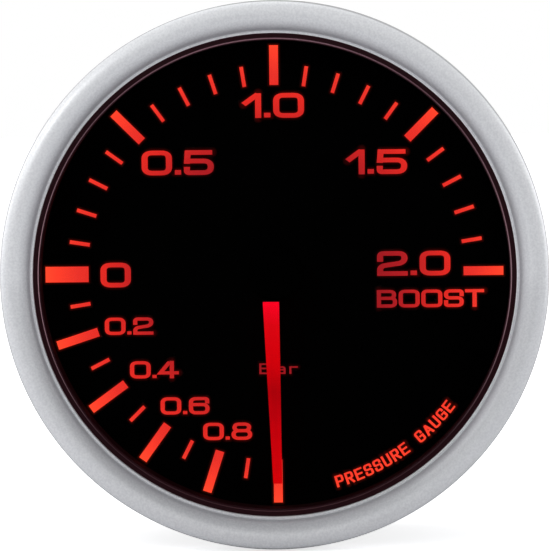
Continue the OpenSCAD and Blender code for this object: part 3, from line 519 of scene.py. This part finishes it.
# The halo is the sheet of painted glow round a sign, made of small cells
HALO_HIGH, HALO_CELL = 0.004 * MM, 0.11 * MM
HALO_LEAST = 0.01
CORNER_STEPS = 7
CORNER_PULL = 0.92
FLAT = 0.75
DOT_TALL = 0.92
MITRE_LEAST = 0.4
STROKES = {
    "0": [(1, [(0, 0), (1, 0), (1, 1), (0, 1)])],
    "1": [(0, [(1, 0), (1, 1)]), (0, [(0.05, 0.64), (0.8, 0.98)])],
    "2": [(0, [(0, 0.7), (0, 1), (1, 1), (1, 0.54), (0, 0.37), (0, 0, "sharp"), (1, 0)])],
    "4": [(0, [(0.7, 0), (0.7, 1)]), (0, [(0.5, 0.95), (0, 0.27, "sharp"), (1, 0.27)])],
    "5": [(0, [(0.94, 1), (0.04, 1, "sharp"), (0.01, 0.56)]),
          (0, [(0.12, 0.58), (1, 0.58), (1, 0), (0, 0), (0, 0.18)])],
    "6": [(0, [(0.98, 0.76), (0.98, 1), (0, 1), (0, 0), (1, 0), (1, 0.58), (0.1, 0.58)])],
    "8": [(1, [(0, 0), (1, 0), (1, 0.54), (0, 0.54)]),
          (1, [(0.06, 0.54), (0.94, 0.54), (0.94, 1), (0.06, 1)])],
    "B": [(0, [(0, 0), (0, 1)]), (0, [(0.1, 1), (0.94, 1), (0.94, 0.53), (0.1, 0.53)]),
          (0, [(0.1, 0.53), (1, 0.53), (1, 0), (0.1, 0)])],
    "O": [(1, [(0, 0), (1, 0), (1, 1), (0, 1)])],
    "S": [(0, [(1, 0.74), (1, 1), (0, 1), (0, 0.52), (1, 0.52), (1, 0), (0, 0), (0, 0.26)])],
    "T": [(0, [(-0.02, 1), (1.02, 1)]), (0, [(0.5, 0), (0.5, 0.85)])],
    "P": [(0, [(0, 0), (0, 1)]), (0, [(0.1, 1), (1, 1), (1, 0.45), (0.1, 0.45)])],
    "R": [(0, [(0, 0), (0, 1)]), (0, [(0.1, 1), (1, 1), (1, 0.47), (0.1, 0.47)]),
          (0, [(0.5, 0.45), (1, 0)])],
    "E": [(0, [(1, 1), (0, 1, "sharp"), (0, 0, "sharp"), (1, 0)]), (0, [(0.1, 0.52), (0.9, 0.52)])],
    "U": [(0, [(0, 1), (0, 0), (1, 0), (1, 1)])],
    "G": [(0, [(1, 0.76), (1, 1), (0, 1), (0, 0), (1, 0), (1, 0.48, "sharp"), (0.55, 0.48)])],
    "A": [(0, [(0, 0), (0.5, 1), (1, 0)]), (0, [(0.24, 0.3), (0.76, 0.3)])],
    "a": [(0, [(0.1, 0.66), (0.9, 0.66), (0.9, 0)]),
          (0, [(0.9, 0.37), (0.05, 0.37), (0.05, 0), (0.9, 0)])],
    "r": [(0, [(0, 0), (0, 0.66)]), (0, [(0.1, 0.66), (0.9, 0.66)])],
}


def unit(way):
    """The same direction, with a length of one."""
    return way / np.linalg.norm(way)


def turned_corners(path, radius, closed):
    """A stroke's middle line with each corner rounded, unless it is marked sharp."""
    out, n = [], len(path)
    for i, point in enumerate(path):
        here = np.array(point[:2], float)
        if (not closed and i in (0, n - 1)) or len(point) > 2:
            out.append(here)
            continue
        before = np.array(path[i - 1][:2], float) - here
        after = np.array(path[(i + 1) % n][:2], float) - here
        reach = min(radius, 0.5 * np.linalg.norm(before), 0.5 * np.linalg.norm(after))
        a, b = here + unit(before) * reach, here + unit(after) * reach
        pull = here * CORNER_PULL + (a + b) * (1 - CORNER_PULL) / 2
        for k in range(CORNER_STEPS + 1):
            t = k / CORNER_STEPS
            at = (1 - t) ** 2 * a + 2 * t * (1 - t) * pull + t * t * b
            if not out or np.linalg.norm(at - out[-1]) > 1e-6:
                out.append(at)
    if closed and np.linalg.norm(out[0] - out[-1]) < 1e-6:
        out.pop()
    return out


def glyph_lines(sign, width, height, stroke, corner):
    """The middle lines of a sign in a box of the given size, each with whether it is closed."""
    inset, height = stroke / 2, height / FLAT
    if sign == ".":
        return [(0, [np.array((0, height / 2)), np.array((width, height / 2))])]
    lines = []
    for closed, path in STROKES[sign]:
        scaled = [(inset + x * (width - stroke), inset + z * (height - stroke), *sharp)
                  for x, z, *sharp in path]
        line = turned_corners(scaled, corner, closed)
        if not closed:
            for end, other in ((0, 1), (-1, -2)):
                line[end] = line[end] + unit(line[end] - line[other]) * inset
        lines.append((closed, line))
    return lines


def ribbon(line, closed, width, seat):
    """Points and faces of a flat closed bar of the given width along a line. Seat puts a point of
    the drawing on the dial."""
    n = len(line)
    points = []
    for i, p in enumerate(line):
        into = unit(p - line[i - 1] if i or closed else line[1] - line[0])
        out = unit(line[(i + 1) % n] - p if i < n - 1 or closed else line[-1] - line[-2])
        a, b = np.array((-into[1], into[0])), np.array((-out[1], out[0]))
        side = (a + b) / max(1 + a @ b, MITRE_LEAST) * width / 2
        left, right = seat(p + side), seat(p - side)
        points += [(x, -height, z) for (x, z), height in (
            (left, SIGN_HIGH), (right, SIGN_HIGH), (right, SIGN_LOW), (left, SIGN_LOW))]
    faces = wrapped(n, 4)
    if not closed:
        faces = faces[:-4] + [(3, 2, 1, 0), tuple(4 * (n - 1) + k for k in range(4))]
    return points, faces


def glow_grid(lines, half):
    """A fine sheet round a sign's lines, with how near each point is to the sign's edge."""
    reach = GLOW_REACH * MM
    corners = np.array([p for _, line in lines for p in line])
    low, high = corners.min(0) - half - reach, corners.max(0) + half + reach
    xs, zs = (np.arange(low[k], high[k] + HALO_CELL, HALO_CELL) for k in (0, 1))
    at = np.stack(np.meshgrid(xs, zs, indexing="ij"), -1).reshape(-1, 2)
    far = np.full(len(at), 1.0)
    for closed, line in lines:
        for a, b in zip(line, line[1:] + ([line[0]] if closed else [])):
            if np.linalg.norm(b - a) > 1e-9:
                t = np.clip(((at - a) @ (b - a)) / ((b - a) @ (b - a)), 0, 1)
                far = np.minimum(far, np.linalg.norm(at - (a + t[:, None] * (b - a)), axis=1))
    near = np.clip(1 - (far - half) / reach, 0, 1)
    rows = len(zs)
    faces = []
    for i in range(len(xs) - 1):
        for j in range(rows - 1):
            cell = (i * rows + j, (i + 1) * rows + j, (i + 1) * rows + j + 1, i * rows + j + 1)
            if max(near[k] for k in cell) > HALO_LEAST:
                faces.append(cell)
    return [(p[0], -HALO_HIGH, p[1]) for p in at], faces, list(near)


def compact(points, faces, values):
    """The same without the points that no face uses."""
    used = sorted({i for f in faces for i in f})
    new = {old: k for k, old in enumerate(used)}
    return ([points[i] for i in used], [tuple(new[i] for i in f) for f in faces],
            [values[i] for i in used])


def write(name, signs, material):
    """Makes one piece of all its signs and one of their glow. A sign is its letter, its middle, its
    turn and its width, height, stroke and corner."""
    points, faces, sheet, cells, levels = [], [], [], [], []
    for sign, x, z, turn, width, height, stroke, corner in signs:
        spin = np.array(((math.cos(turn), -math.sin(turn)), (math.sin(turn), math.cos(turn))))

        def seat(p):
            return (spin @ (p * (1, FLAT) - (width / 2, height / 2)) + (x, z)) * MM

        drawn = glyph_lines(sign, width, height, stroke, corner)
        for closed, line in drawn:
            bar, sides = ribbon(line, closed, stroke, seat)
            faces += [tuple(len(points) + i for i in f) for f in sides]
            points += bar
        lines = [(closed, [seat(p) for p in line]) for closed, line in drawn]
        flat, squares, near = compact(*glow_grid(lines, stroke * (1 + FLAT) / 4 * MM))
        cells += [tuple(len(sheet) + i for i in f) for f in squares]
        sheet += flat
        levels += near
    piece(name, points, faces, material)
    glow_sheet(piece(name + "_glow", sheet, cells, glow, glows=levels))


def row_of(text, x, z, widths, gap, height, stroke, corner):
    """The signs of a level word, set out from its middle. Widths and gaps are in mm."""
    left, signs = x - (sum(widths) + gap * (len(text) - 1)) / 2, []
    for sign, width in zip(text, widths):
        tall = stroke * DOT_TALL if sign == "." else height
        level = z - (height - tall) / 2 if sign == "." else z
        signs.append((sign, left + width / 2, level, 0, width, tall, stroke, corner))
        left += width + gap
    return signs


# Red varnish in the windows, lit from behind: darker towards the middle of the dial
varnish_lit = lit("RedVarnishBacklit", RED_BY_RADIUS, from_axis, strength=BACKLIGHT)
# Gap, height, stroke and corner of each size of sign
BIG = (0.33, 2.93, 0.72, 0.85)
SMALL = (0.2, 2.06, 0.5, 0.6)
WORD = (0.18, 2.1, 0.5, 0.5)
LITTLE = (0.35, 1.27, 0.24, 0.3)
NUMBERS = [
    ("0", -19.0, -0.12, [3.6], BIG), ("0.5", -11.49, 13.12, [3.6, 0.74, 3.55], BIG),
    ("1.0", -0.13, 19.79, [2.26, 0.76, 3.65], BIG), ("1.5", 12.05, 13.01, [2.2, 0.76, 3.6], BIG),
    ("2.0", 16.32, 0.95, [3.62, 0.76, 3.63], BIG), ("0.2", -17.48, -6.2, [2.46, 0.5, 2.4], SMALL),
    ("0.4", -14.54, -11.4, [2.46, 0.5, 2.44], SMALL),
    ("0.6", -10.95, -15.72, [2.46, 0.5, 2.46], SMALL),
    ("0.8", -5.93, -18.8, [2.46, 0.5, 2.46], SMALL),
]
WORDS = [("BOOST", 18.25, -3.23, [2.4, 2.5, 2.5, 2.35, 2.2], WORD),
         ("Bar", 0.24, -11.4, [1.65, 1.2, 1.1], LITTLE)]
write("dial_numbers", [s for *row, size in NUMBERS for s in row_of(*row, *size)], varnish_lit)
words = [s for *row, size in WORDS for s in row_of(*row, *size)]

# The small line follows the rim at the lower right. Its size is width, height, stroke and corner.
CAPTION = "PRESSURE GAUGE"
CAPTION_R, CAPTION_PITCH = 25.85, 1.22
CAPTION_MIDDLE = math.radians(-56)
CAPTION_SIZE = (1.0, 1.4, 0.29, 0.22)
for k, sign in enumerate(CAPTION):
    turn = CAPTION_MIDDLE + (k - (len(CAPTION) - 1) / 2) * CAPTION_PITCH / CAPTION_R
    if sign != " ":
        words.append((sign, CAPTION_R * math.cos(turn), CAPTION_R * math.sin(turn),
                      turn + math.pi / 2, *CAPTION_SIZE))
write("dial_words", words, varnish_lit)

# Light guide, light box and LEDs
# Behind the dial a clear acrylic disc spreads the light of twelve LEDs, which sit in a white tray.
# Four more light the pointer through the middle. The disc lies in the tray, and the front board
# carries the LEDs.

# Acrylic, moulded and polished: clear as glass, a little wavy
guide_clear = finish("AcrylicGuideMoulded", "#dfe9ea", 0.18, grain=1.2, depth=0.003, fade=0.03,
                     wander=0.06, **{"Transmission Weight": 0.85, "IOR": LENS_IOR})
dress(guide_clear, "light_guide")
# White ABS, moulded: smooth, so that it throws the light back
tray_white = finish("AbsTrayMouldedWhite", "#eceae2", 0.35, fade=0.05)
dress(tray_white, "light_box")
# Ceramic, fired, under yellowish silicone: plain cream white
led_white = finish("LedHousingCeramic", "#f2efe2", 0.4, grain=0.1, depth=0.002, fade=0.04)
dress(led_white, "dial_leds", "hub_leds")

# Pointer
# The blade is clear red acrylic on a brass hub, lit through its root, so it glows along its length.
# Black paint hides its root, and a black moulded cap covers the hub.
ROOT_PAINTED = 3.35 * MM
BLADE_STOPS = [(0, "#fd0223"), (3.4, "#fd0223"), (6.2, "#da040e"), (10.5, "#cf0006"),
               (14, "#a40005"), (17.6, "#b90008"), (24.9, "#d30205")]


def down_the_blade(tree):
    """Distance from the pointer's pivot towards its tip."""
    place = add(tree, "ShaderNodeTexCoord").outputs["Object"]
    height = add(tree, "ShaderNodeSeparateXYZ", {"Vector": place}).outputs["Z"]
    return add(tree, "ShaderNodeMath", {0: height, 1: -1.0}, operation="MULTIPLY")


# Red acrylic, cut and polished: bright at its lit root and again at its tip, darker between
blade_lit = lit("AcrylicRedEdgeLit", BLADE_STOPS, down_the_blade, base="#5a0006", roughness=0.25)
tree, shining = shader_of(blade_lit)
surface = shining.outputs["BSDF"].links[0].to_socket
paint = add(tree, "ShaderNodeBsdfPrincipled", {"Base Color": linear(INK), "Roughness": 0.5,
                                               **NO_SHEEN})
past = add(tree, "ShaderNodeMath", {0: down_the_blade(tree), 1: ROOT_PAINTED},
           operation="GREATER_THAN")
both = add(tree, "ShaderNodeMixShader", {0: past, 1: paint, 2: shining})
tree.links.new(both.outputs["Shader"], surface)
dress(blade_lit, "pointer_blade")

# Brass, turned: fine rings from the tool
brass = finish("BrassTurned", "#c9a24b", 0.28, grain=0.15, depth=0.002, stretch=(1, 6, 1),
               Metallic=1.0)
dress(brass, "pointer_hub", "board_spacers")
# Black ABS, moulded: satin, very dark under the lens
cap_black = finish("AbsCapMouldedBlack", "#020202", 0.6, grain=0.12, depth=0.002, **NO_SHEEN)
dress(cap_black, "hub_cap")

# Motor
# A stepper motor turns the pointer through two steps of gears. Its housing is moulded grey nylon,
# its iron loop is stamped steel, and two coils of enamelled copper wire lie on the loop's legs.

# Grey nylon, moulded: even and dull
nylon_grey = finish("NylonGreyMoulded", "#3a3d42", 0.5)
dress(nylon_grey, "motor_base", "motor_lid")
# Silicon steel, stamped from sheet: plain grey metal with a soft shine
iron = finish("SiliconSteelStamped", "#8a8e93", 0.38, grain=0.1, depth=0.004, Metallic=1.0)
dress(iron, "stator")
# Undyed nylon, moulded: warm off-white
bobbin_nylon = finish("NylonNaturalMoulded", "#d9d4c4", 0.45)
dress(bobbin_nylon, "coil_bobbins")
# Steel, ground round: bright, with fine rings
steel_ground = finish("ArborSteelGround", "#a9adb2", 0.22, grain=0.08, depth=0.001,
                      stretch=(1, 5, 1), Metallic=1.0)
dress(steel_ground, "motor_shaft", "idler_arbor", "rotor_arbor")
# Undyed acetal, moulded: waxy white with a soft shine
acetal = finish("AcetalNaturalMoulded", "#e6e2d2", 0.35, fade=0.06)
dress(acetal, "output_wheel", "idler_wheel")
# Ferrite, pressed and ground: dark grey, half metallic
ferrite = finish("FerriteMagnetGround", "#3c3f44", 0.45, grain=0.12, depth=0.003, Metallic=0.4)
dress(ferrite, "rotor_magnet")

# Enamelled copper wire, wound: clear amber varnish over bright copper. The real wire is about
# 0.05 mm thick, and each turn drawn here stands for several. A core fills the winding's inside.
copper = finish("CopperWireEnamelled", "#b5562a", 0.25, grain=0.3, depth=0.001, Metallic=1.0,
                **{"Coat Weight": 0.6, "Coat Roughness": 0.1})
WIRE = 0.3 * MM
CORE_BORE = 0.78
CORE_SHORT = 0.2 * WIRE
CORE_STEPS = 48


def along_spiral(name, profile_steps, rings):
    """A tree that sweeps a small profile along a spiral round Z, for a winding or a thread."""
    made, given = start_tree(name, Turns="Float", Radius="Float", Height="Float",
                             Thickness="Float", Material="Material")
    path = add(made, "GeometryNodeCurveSpiral", {
        "Resolution": rings, "Rotations": given["Turns"], "Start Radius": given["Radius"],
        "End Radius": given["Radius"], "Height": given["Height"]})
    level = add(made, "GeometryNodeSetCurveNormal", {"Curve": path}, mode="Z_UP")
    profile = add(made, "GeometryNodeCurvePrimitiveCircle", {"Resolution": profile_steps,
                                                             "Radius": given["Thickness"]})
    swept = add(made, "GeometryNodeCurveToMesh", {"Curve": level, "Profile Curve": profile,
                                                  "Fill Caps": True})
    return end_tree(made, swept, given["Material"])


winding = along_spiral("winding", profile_steps=6, rings=20)
for side in ("left", "right"):
    low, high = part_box("coil_" + side)
    middle = (low + high) / 2
    reach = (high.x - low.x) / 2
    length = high.z - low.z
    turns = grown(winding, Turns=(length - WIRE) / WIRE, Radius=reach - WIRE / 2,
                  Height=length - WIRE, Thickness=WIRE / 2, Material=copper)
    turns.transform(Matrix.Translation((middle.x, middle.y, low.z + WIRE / 2)))
    inner, outer = reach * CORE_BORE, reach - WIRE / 2
    bottom, top = low.z + CORE_SHORT, high.z - CORE_SHORT
    tube = [(inner, bottom), (outer, bottom), (outer, top), (inner, top)]
    core = plain_mesh(*lathe(tube, CORE_STEPS))
    upright = Matrix.Rotation(-math.pi / 2, 4, "X")
    core.transform(Matrix.Translation((middle.x, middle.y, 0)) @ upright)
    coil = joined("coil_winding_" + side, [turns, core], copper, "housing", smooth=40)
    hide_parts("coil_" + side)

# Boards
# Two glass-epoxy boards with green solder mask, held apart by brass spacers. The rear one carries
# the chips, the capacitors and the buzzer.

# Glass epoxy under solder mask: glossy deep green, with the weave showing as faint patches
board_green = finish("GlassEpoxySolderMasked", "#14532b", 0.3, grain=0.6, depth=0.004, patch=2.0,
                     fade=0.25, **{"Coat Weight": 0.4})
dress(board_green, "front_board", "main_board")
# PBT, moulded: black and even
header_black = finish("PbtHeaderMoulded", "#17171a", 0.45)
dress(header_black, "board_header")
# Brass, drawn and thinly gold plated: pale gold
gilt = finish("BrassPinGoldPlated", "#c8b46a", 0.25, grain=0.1, depth=0.001, Metallic=1.0)
dress(gilt, "header_pins", "power_pins", "sensor_pins", "motor_pins")
# Filled epoxy, moulded round the chips: matt grey black
epoxy_black = finish("EpoxyPackageMoulded", "#26262a", 0.55, grain=0.15, depth=0.005)
dress(epoxy_black, "microcontroller", "voltage_regulator")
# Aluminium, drawn into cans: bright, with marks along the draw
can_silver = finish("AluminiumCanDrawn", "#aab0b6", 0.3, grain=0.12, depth=0.002,
                    stretch=(1, 0.2, 1), Metallic=1.0)
dress(can_silver, "capacitors")
# Phenolic resin, moulded: black with a low sheen
buzzer_black = finish("PhenolicBuzzerMoulded", "#101012", 0.5)
dress(buzzer_black, "buzzer")

# Rear
# The cover is moulded ABS with a coarser texture. Zinc-plated screws hold it, two threaded steel
# studs take the bracket, and two white nylon sockets open to the rear.

# ABS, moulded in a textured tool: black, and rougher to the eye than the case
cover_black = finish("AbsCoverTextured", "#202022", 0.58, grain=0.35, depth=0.012)
dress(cover_black, "rear_cover")
# Steel, zinc plated: bluish grey with faint cloudy patches
zinc = finish("SteelZincPlated", "#a9acb0", 0.34, grain=0.3, depth=0.003, patch=1.5, fade=0.12,
              Metallic=1.0)
dress(zinc, "cover_screws", "board_screws")
# Undyed nylon, moulded: milky white
socket_white = finish("NylonSocketMoulded", "#e9e6da", 0.4, fade=0.08)
dress(socket_white, "power_socket", "sensor_socket")

# Studs: rolled thread, 0.7 mm pitch, on a plain shank, with the head inside the cover
PITCH = 0.7 * MM
THREAD_DEPTH = 0.34 * MM
STUD_R, NECK_R, HEAD_R = 2.0 * MM, 2.4 * MM, 3.8 * MM
CORE_R = STUD_R - 0.9 * THREAD_DEPTH
TIP_R, TIP_LONG = 0.7 * CORE_R, 0.5 * MM
HEAD_THICK = 1.0 * MM
COLLAR_AT = 30.8 * MM
SHANK_END = 31.3 * MM
THREAD_START = 31.6 * MM
CORE_START = 31.7 * MM
STUD_STEPS = 64
thread = along_spiral("thread", profile_steps=4, rings=40)
low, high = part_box("mounting_studs")
head_end, thread_long = low.y + HEAD_THICK, high.y - TIP_LONG - THREAD_START
stud_line = [(0, low.y), (HEAD_R, low.y), (HEAD_R, head_end), (NECK_R, head_end),
             (NECK_R, COLLAR_AT), (STUD_R, COLLAR_AT), (STUD_R, SHANK_END), (CORE_R, CORE_START),
             (CORE_R, high.y - TIP_LONG), (TIP_R, high.y), (0, high.y)]
stud_profile = [(r, -y) for r, y in stud_line]
meshes = []
for side in (-1, 1):
    stud_x = side * (high.x - HEAD_R)
    ridge = grown(thread, Turns=thread_long / PITCH, Radius=STUD_R - THREAD_DEPTH,
                  Height=thread_long, Thickness=THREAD_DEPTH, Material=zinc)
    level = Matrix.Rotation(-math.pi / 2, 4, "X")
    ridge.transform(Matrix.Translation((stud_x, THREAD_START, 0)) @ level)
    meshes += [ridge, plain_mesh(*lathe(stud_profile, STUD_STEPS, (stud_x, 0)))]
studs = joined("studs_threaded", meshes, zinc, "housing", smooth=35, merge=10 * SAME_POINT)
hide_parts("mounting_studs")

# Studio
# Pale paper floor and a white room, with three large soft lamps round the rim and a small one near
# the left. A bent black card and a small black flag keep dark what the photographed gauge shows
# dark in its lens and bezel.
FLOOR_GAP = 0.2 * MM
FLOOR_HALF = 1.5
PAPER_LIFT = 0.72
floor_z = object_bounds()[0].z - FLOOR_GAP


def flat_piece(name, points, faces, *materials):
    """A flat part of the studio."""
    made = placed(name, plain_mesh(points, faces))
    for material in materials:
        made.data.materials.append(material)
    return made


# Matt paper: pale grey, and lifted for the camera alone, so that it shows as the photograph's
# background does and still takes the gauge's shadow
paper, tree = empty_material("PaperBackdropMatt")
seen = add(tree, "ShaderNodeLightPath").outputs["Is Camera Ray"]
matt = add(tree, "ShaderNodeBsdfDiffuse", {"Color": linear("#e6e6e8")})
lift = add(tree, "ShaderNodeEmission", {"Color": linear("#ffffff"), "Strength": PAPER_LIFT})
lifted = add(tree, "ShaderNodeAddShader", {0: matt, 1: lift})
shown = add(tree, "ShaderNodeMixShader", {0: seen, 1: matt, 2: lifted})
add(tree, "ShaderNodeOutputMaterial", {"Surface": shown})
corners = [(x * FLOOR_HALF, y * FLOOR_HALF, floor_z)
           for x, y in ((-1, -1), (1, -1), (1, 1), (-1, 1))]
floor = flat_piece("floor", corners, [(0, 1, 2, 3)], paper)

# Black card, seen in reflections alone: it lies on the floor in front of the gauge and stands up
# behind the camera. The part that lies is clear to a ray that grazes it.
CARD_NEAR, CARD_LEFT, CARD_RIGHT, CARD_TOP = 0.035, -0.1, 0.05, 0.07
CARD_START, CARD_Y = -0.03, -0.9
GRAZING = 0.87
card_low = floor_z + 2 * FLOOR_GAP / 3
blacks = []
for part in ("Upright", "Level"):
    card_black, tree = empty_material("CardBlack" + part)
    dull = add(tree, "ShaderNodeEmission", {"Color": linear("#000000"), "Strength": 0.0})
    if part == "Level":
        slant = add(tree, "ShaderNodeLayerWeight", {"Blend": 0.5}).outputs["Facing"]
        steep = add(tree, "ShaderNodeMath", {0: slant, 1: GRAZING}, operation="LESS_THAN")
        open_air = add(tree, "ShaderNodeBsdfTransparent")
        dull = add(tree, "ShaderNodeMixShader", {0: steep, 1: dull, 2: open_air})
    add(tree, "ShaderNodeOutputMaterial", {"Surface": dull})
    blacks.append(card_black)
card = flat_piece("card", [(-CARD_NEAR, CARD_START, card_low), (CARD_NEAR, CARD_START, card_low),
                           (CARD_LEFT, CARD_Y, card_low), (CARD_RIGHT, CARD_Y, card_low),
                           (CARD_LEFT, CARD_Y, CARD_TOP), (CARD_RIGHT, CARD_Y, CARD_TOP)],
                  [(0, 1, 3, 2), (2, 3, 5, 4)], *blacks)
card.data.polygons[0].material_index = 1
card.visible_camera = card.visible_diffuse = card.visible_shadow = False

# Black flag, level in front of the dial. Only reflections that go up from below meet it, so it
# keeps the white ceiling out of the lower half of the bezel. It fades close below, so that it
# leaves no step on the ring.
FLAG_X, FLAG_NEAR, FLAG_FAR = 0.036, -0.0092, -0.08
FLAG_FADE = 0.022
flag_black, tree = empty_material("FlagBlack")
behind = add(tree, "ShaderNodeNewGeometry").outputs["Backfacing"]
dull = add(tree, "ShaderNodeEmission", {"Color": linear("#000000"), "Strength": 0.0})
open_air = add(tree, "ShaderNodeBsdfTransparent")
length = add(tree, "ShaderNodeLightPath").outputs["Ray Length"]
deep = add(tree, "ShaderNodeMapRange", {"Value": length, "From Max": FLAG_FADE})
strong = add(tree, "ShaderNodeMath", {0: behind, 1: deep}, operation="MULTIPLY")
one_way = add(tree, "ShaderNodeMixShader", {0: strong, 1: open_air, 2: dull})
add(tree, "ShaderNodeOutputMaterial", {"Surface": one_way})
flag = flat_piece("flag", [(-FLAG_X, FLAG_NEAR, 0), (FLAG_X, FLAG_NEAR, 0), (FLAG_X, FLAG_FAR, 0),
                           (-FLAG_X, FLAG_FAR, 0)], [(0, 3, 2, 1)], flag_black)
flag.visible_camera = flag.visible_diffuse = flag.visible_shadow = False
flag.visible_transmission = False

# The room: white to the camera and in reflections, a little dimmer as a light
ROOM_LIGHT = 0.7
world = bpy.data.worlds.new("studio")
bpy.context.scene.world = world
world.use_nodes = True
tree = world.node_tree
tree.nodes.clear()
path = add(tree, "ShaderNodeLightPath").outputs
one = add(tree, "ShaderNodeMath", {0: path["Is Camera Ray"], 1: path["Is Glossy Ray"]},
          operation="MAXIMUM")
any_of = add(tree, "ShaderNodeMath", {0: one, 1: path["Is Transmission Ray"]}, operation="MAXIMUM")
room = add(tree, "ShaderNodeBackground", {"Color": linear("#f4f5f7"), "Strength": ROOM_LIGHT})
white = add(tree, "ShaderNodeBackground", {"Color": linear("#ffffff"), "Strength": 1.0})
mixed = add(tree, "ShaderNodeMixShader", {0: any_of, 1: room, 2: white})
add(tree, "ShaderNodeOutputWorld", {"Surface": mixed})


def lamp(name, place, size, power):
    """A soft square lamp that faces the gauge."""
    data = bpy.data.lights.new(name, "AREA")
    data.shape, data.size, data.energy = "SQUARE", size, power
    made = placed(name, data)
    made.location = place
    made.rotation_mode = "QUATERNION"
    made.rotation_quaternion = (-Vector(place)).to_track_quat("-Z", "Y")
    made.visible_camera = False


lamp("rim_left", (-0.6, 0.06, 0.16), 0.5, 1.05)
lamp("rim_right", (0.6, 0.12, 0.1), 0.5, 1.2)
lamp("rim_above", (-0.1, 0.12, 0.62), 0.5, 0.65)
lamp("near_left", (-0.09, -0.07, 0.06), 0.03, 0.019)

# Camera: 0.75 m in front, a little to the right and above, with a long lens. It is rolled slightly,
# as the dial is in the photograph, and set off so that the bezel stands where it does there.
IMAGE_H = 551
BEZEL_PX = 274.8
AIM_RIGHT_PX, AIM_UP_PX = 0.7, 0.15
DISTANCE = 0.75
RIGHT, ABOVE, ROLL = math.radians(1.66), math.radians(3.1), math.radians(-0.63)
SENSOR = 36.0
ring_centre = Vector((0, -(BEZEL_FRONT - ROLL_DEEP), 0))
back = Vector((math.sin(RIGHT) * math.cos(ABOVE), -math.cos(RIGHT) * math.cos(ABOVE),
               math.sin(ABOVE)))
facing = (-back).to_track_quat("-Z", "Y").to_matrix()
px = BEZEL_R / BEZEL_PX
data = bpy.data.cameras.new("camera")
data.sensor_width = SENSOR
data.lens = SENSOR * DISTANCE / (IMAGE_H * px)
data.clip_start, data.clip_end = 0.01, 20
camera = placed("camera", data)
set_off = facing @ Vector((AIM_RIGHT_PX * px, AIM_UP_PX * px, 0))
camera.location = ring_centre + set_off + back * DISTANCE
camera.rotation_mode = "QUATERNION"
camera.rotation_quaternion = (facing @ Matrix.Rotation(ROLL, 3, "Z")).to_quaternion()
bpy.context.scene.camera = camera
bpy.context.scene.view_settings.view_transform = "Standard"
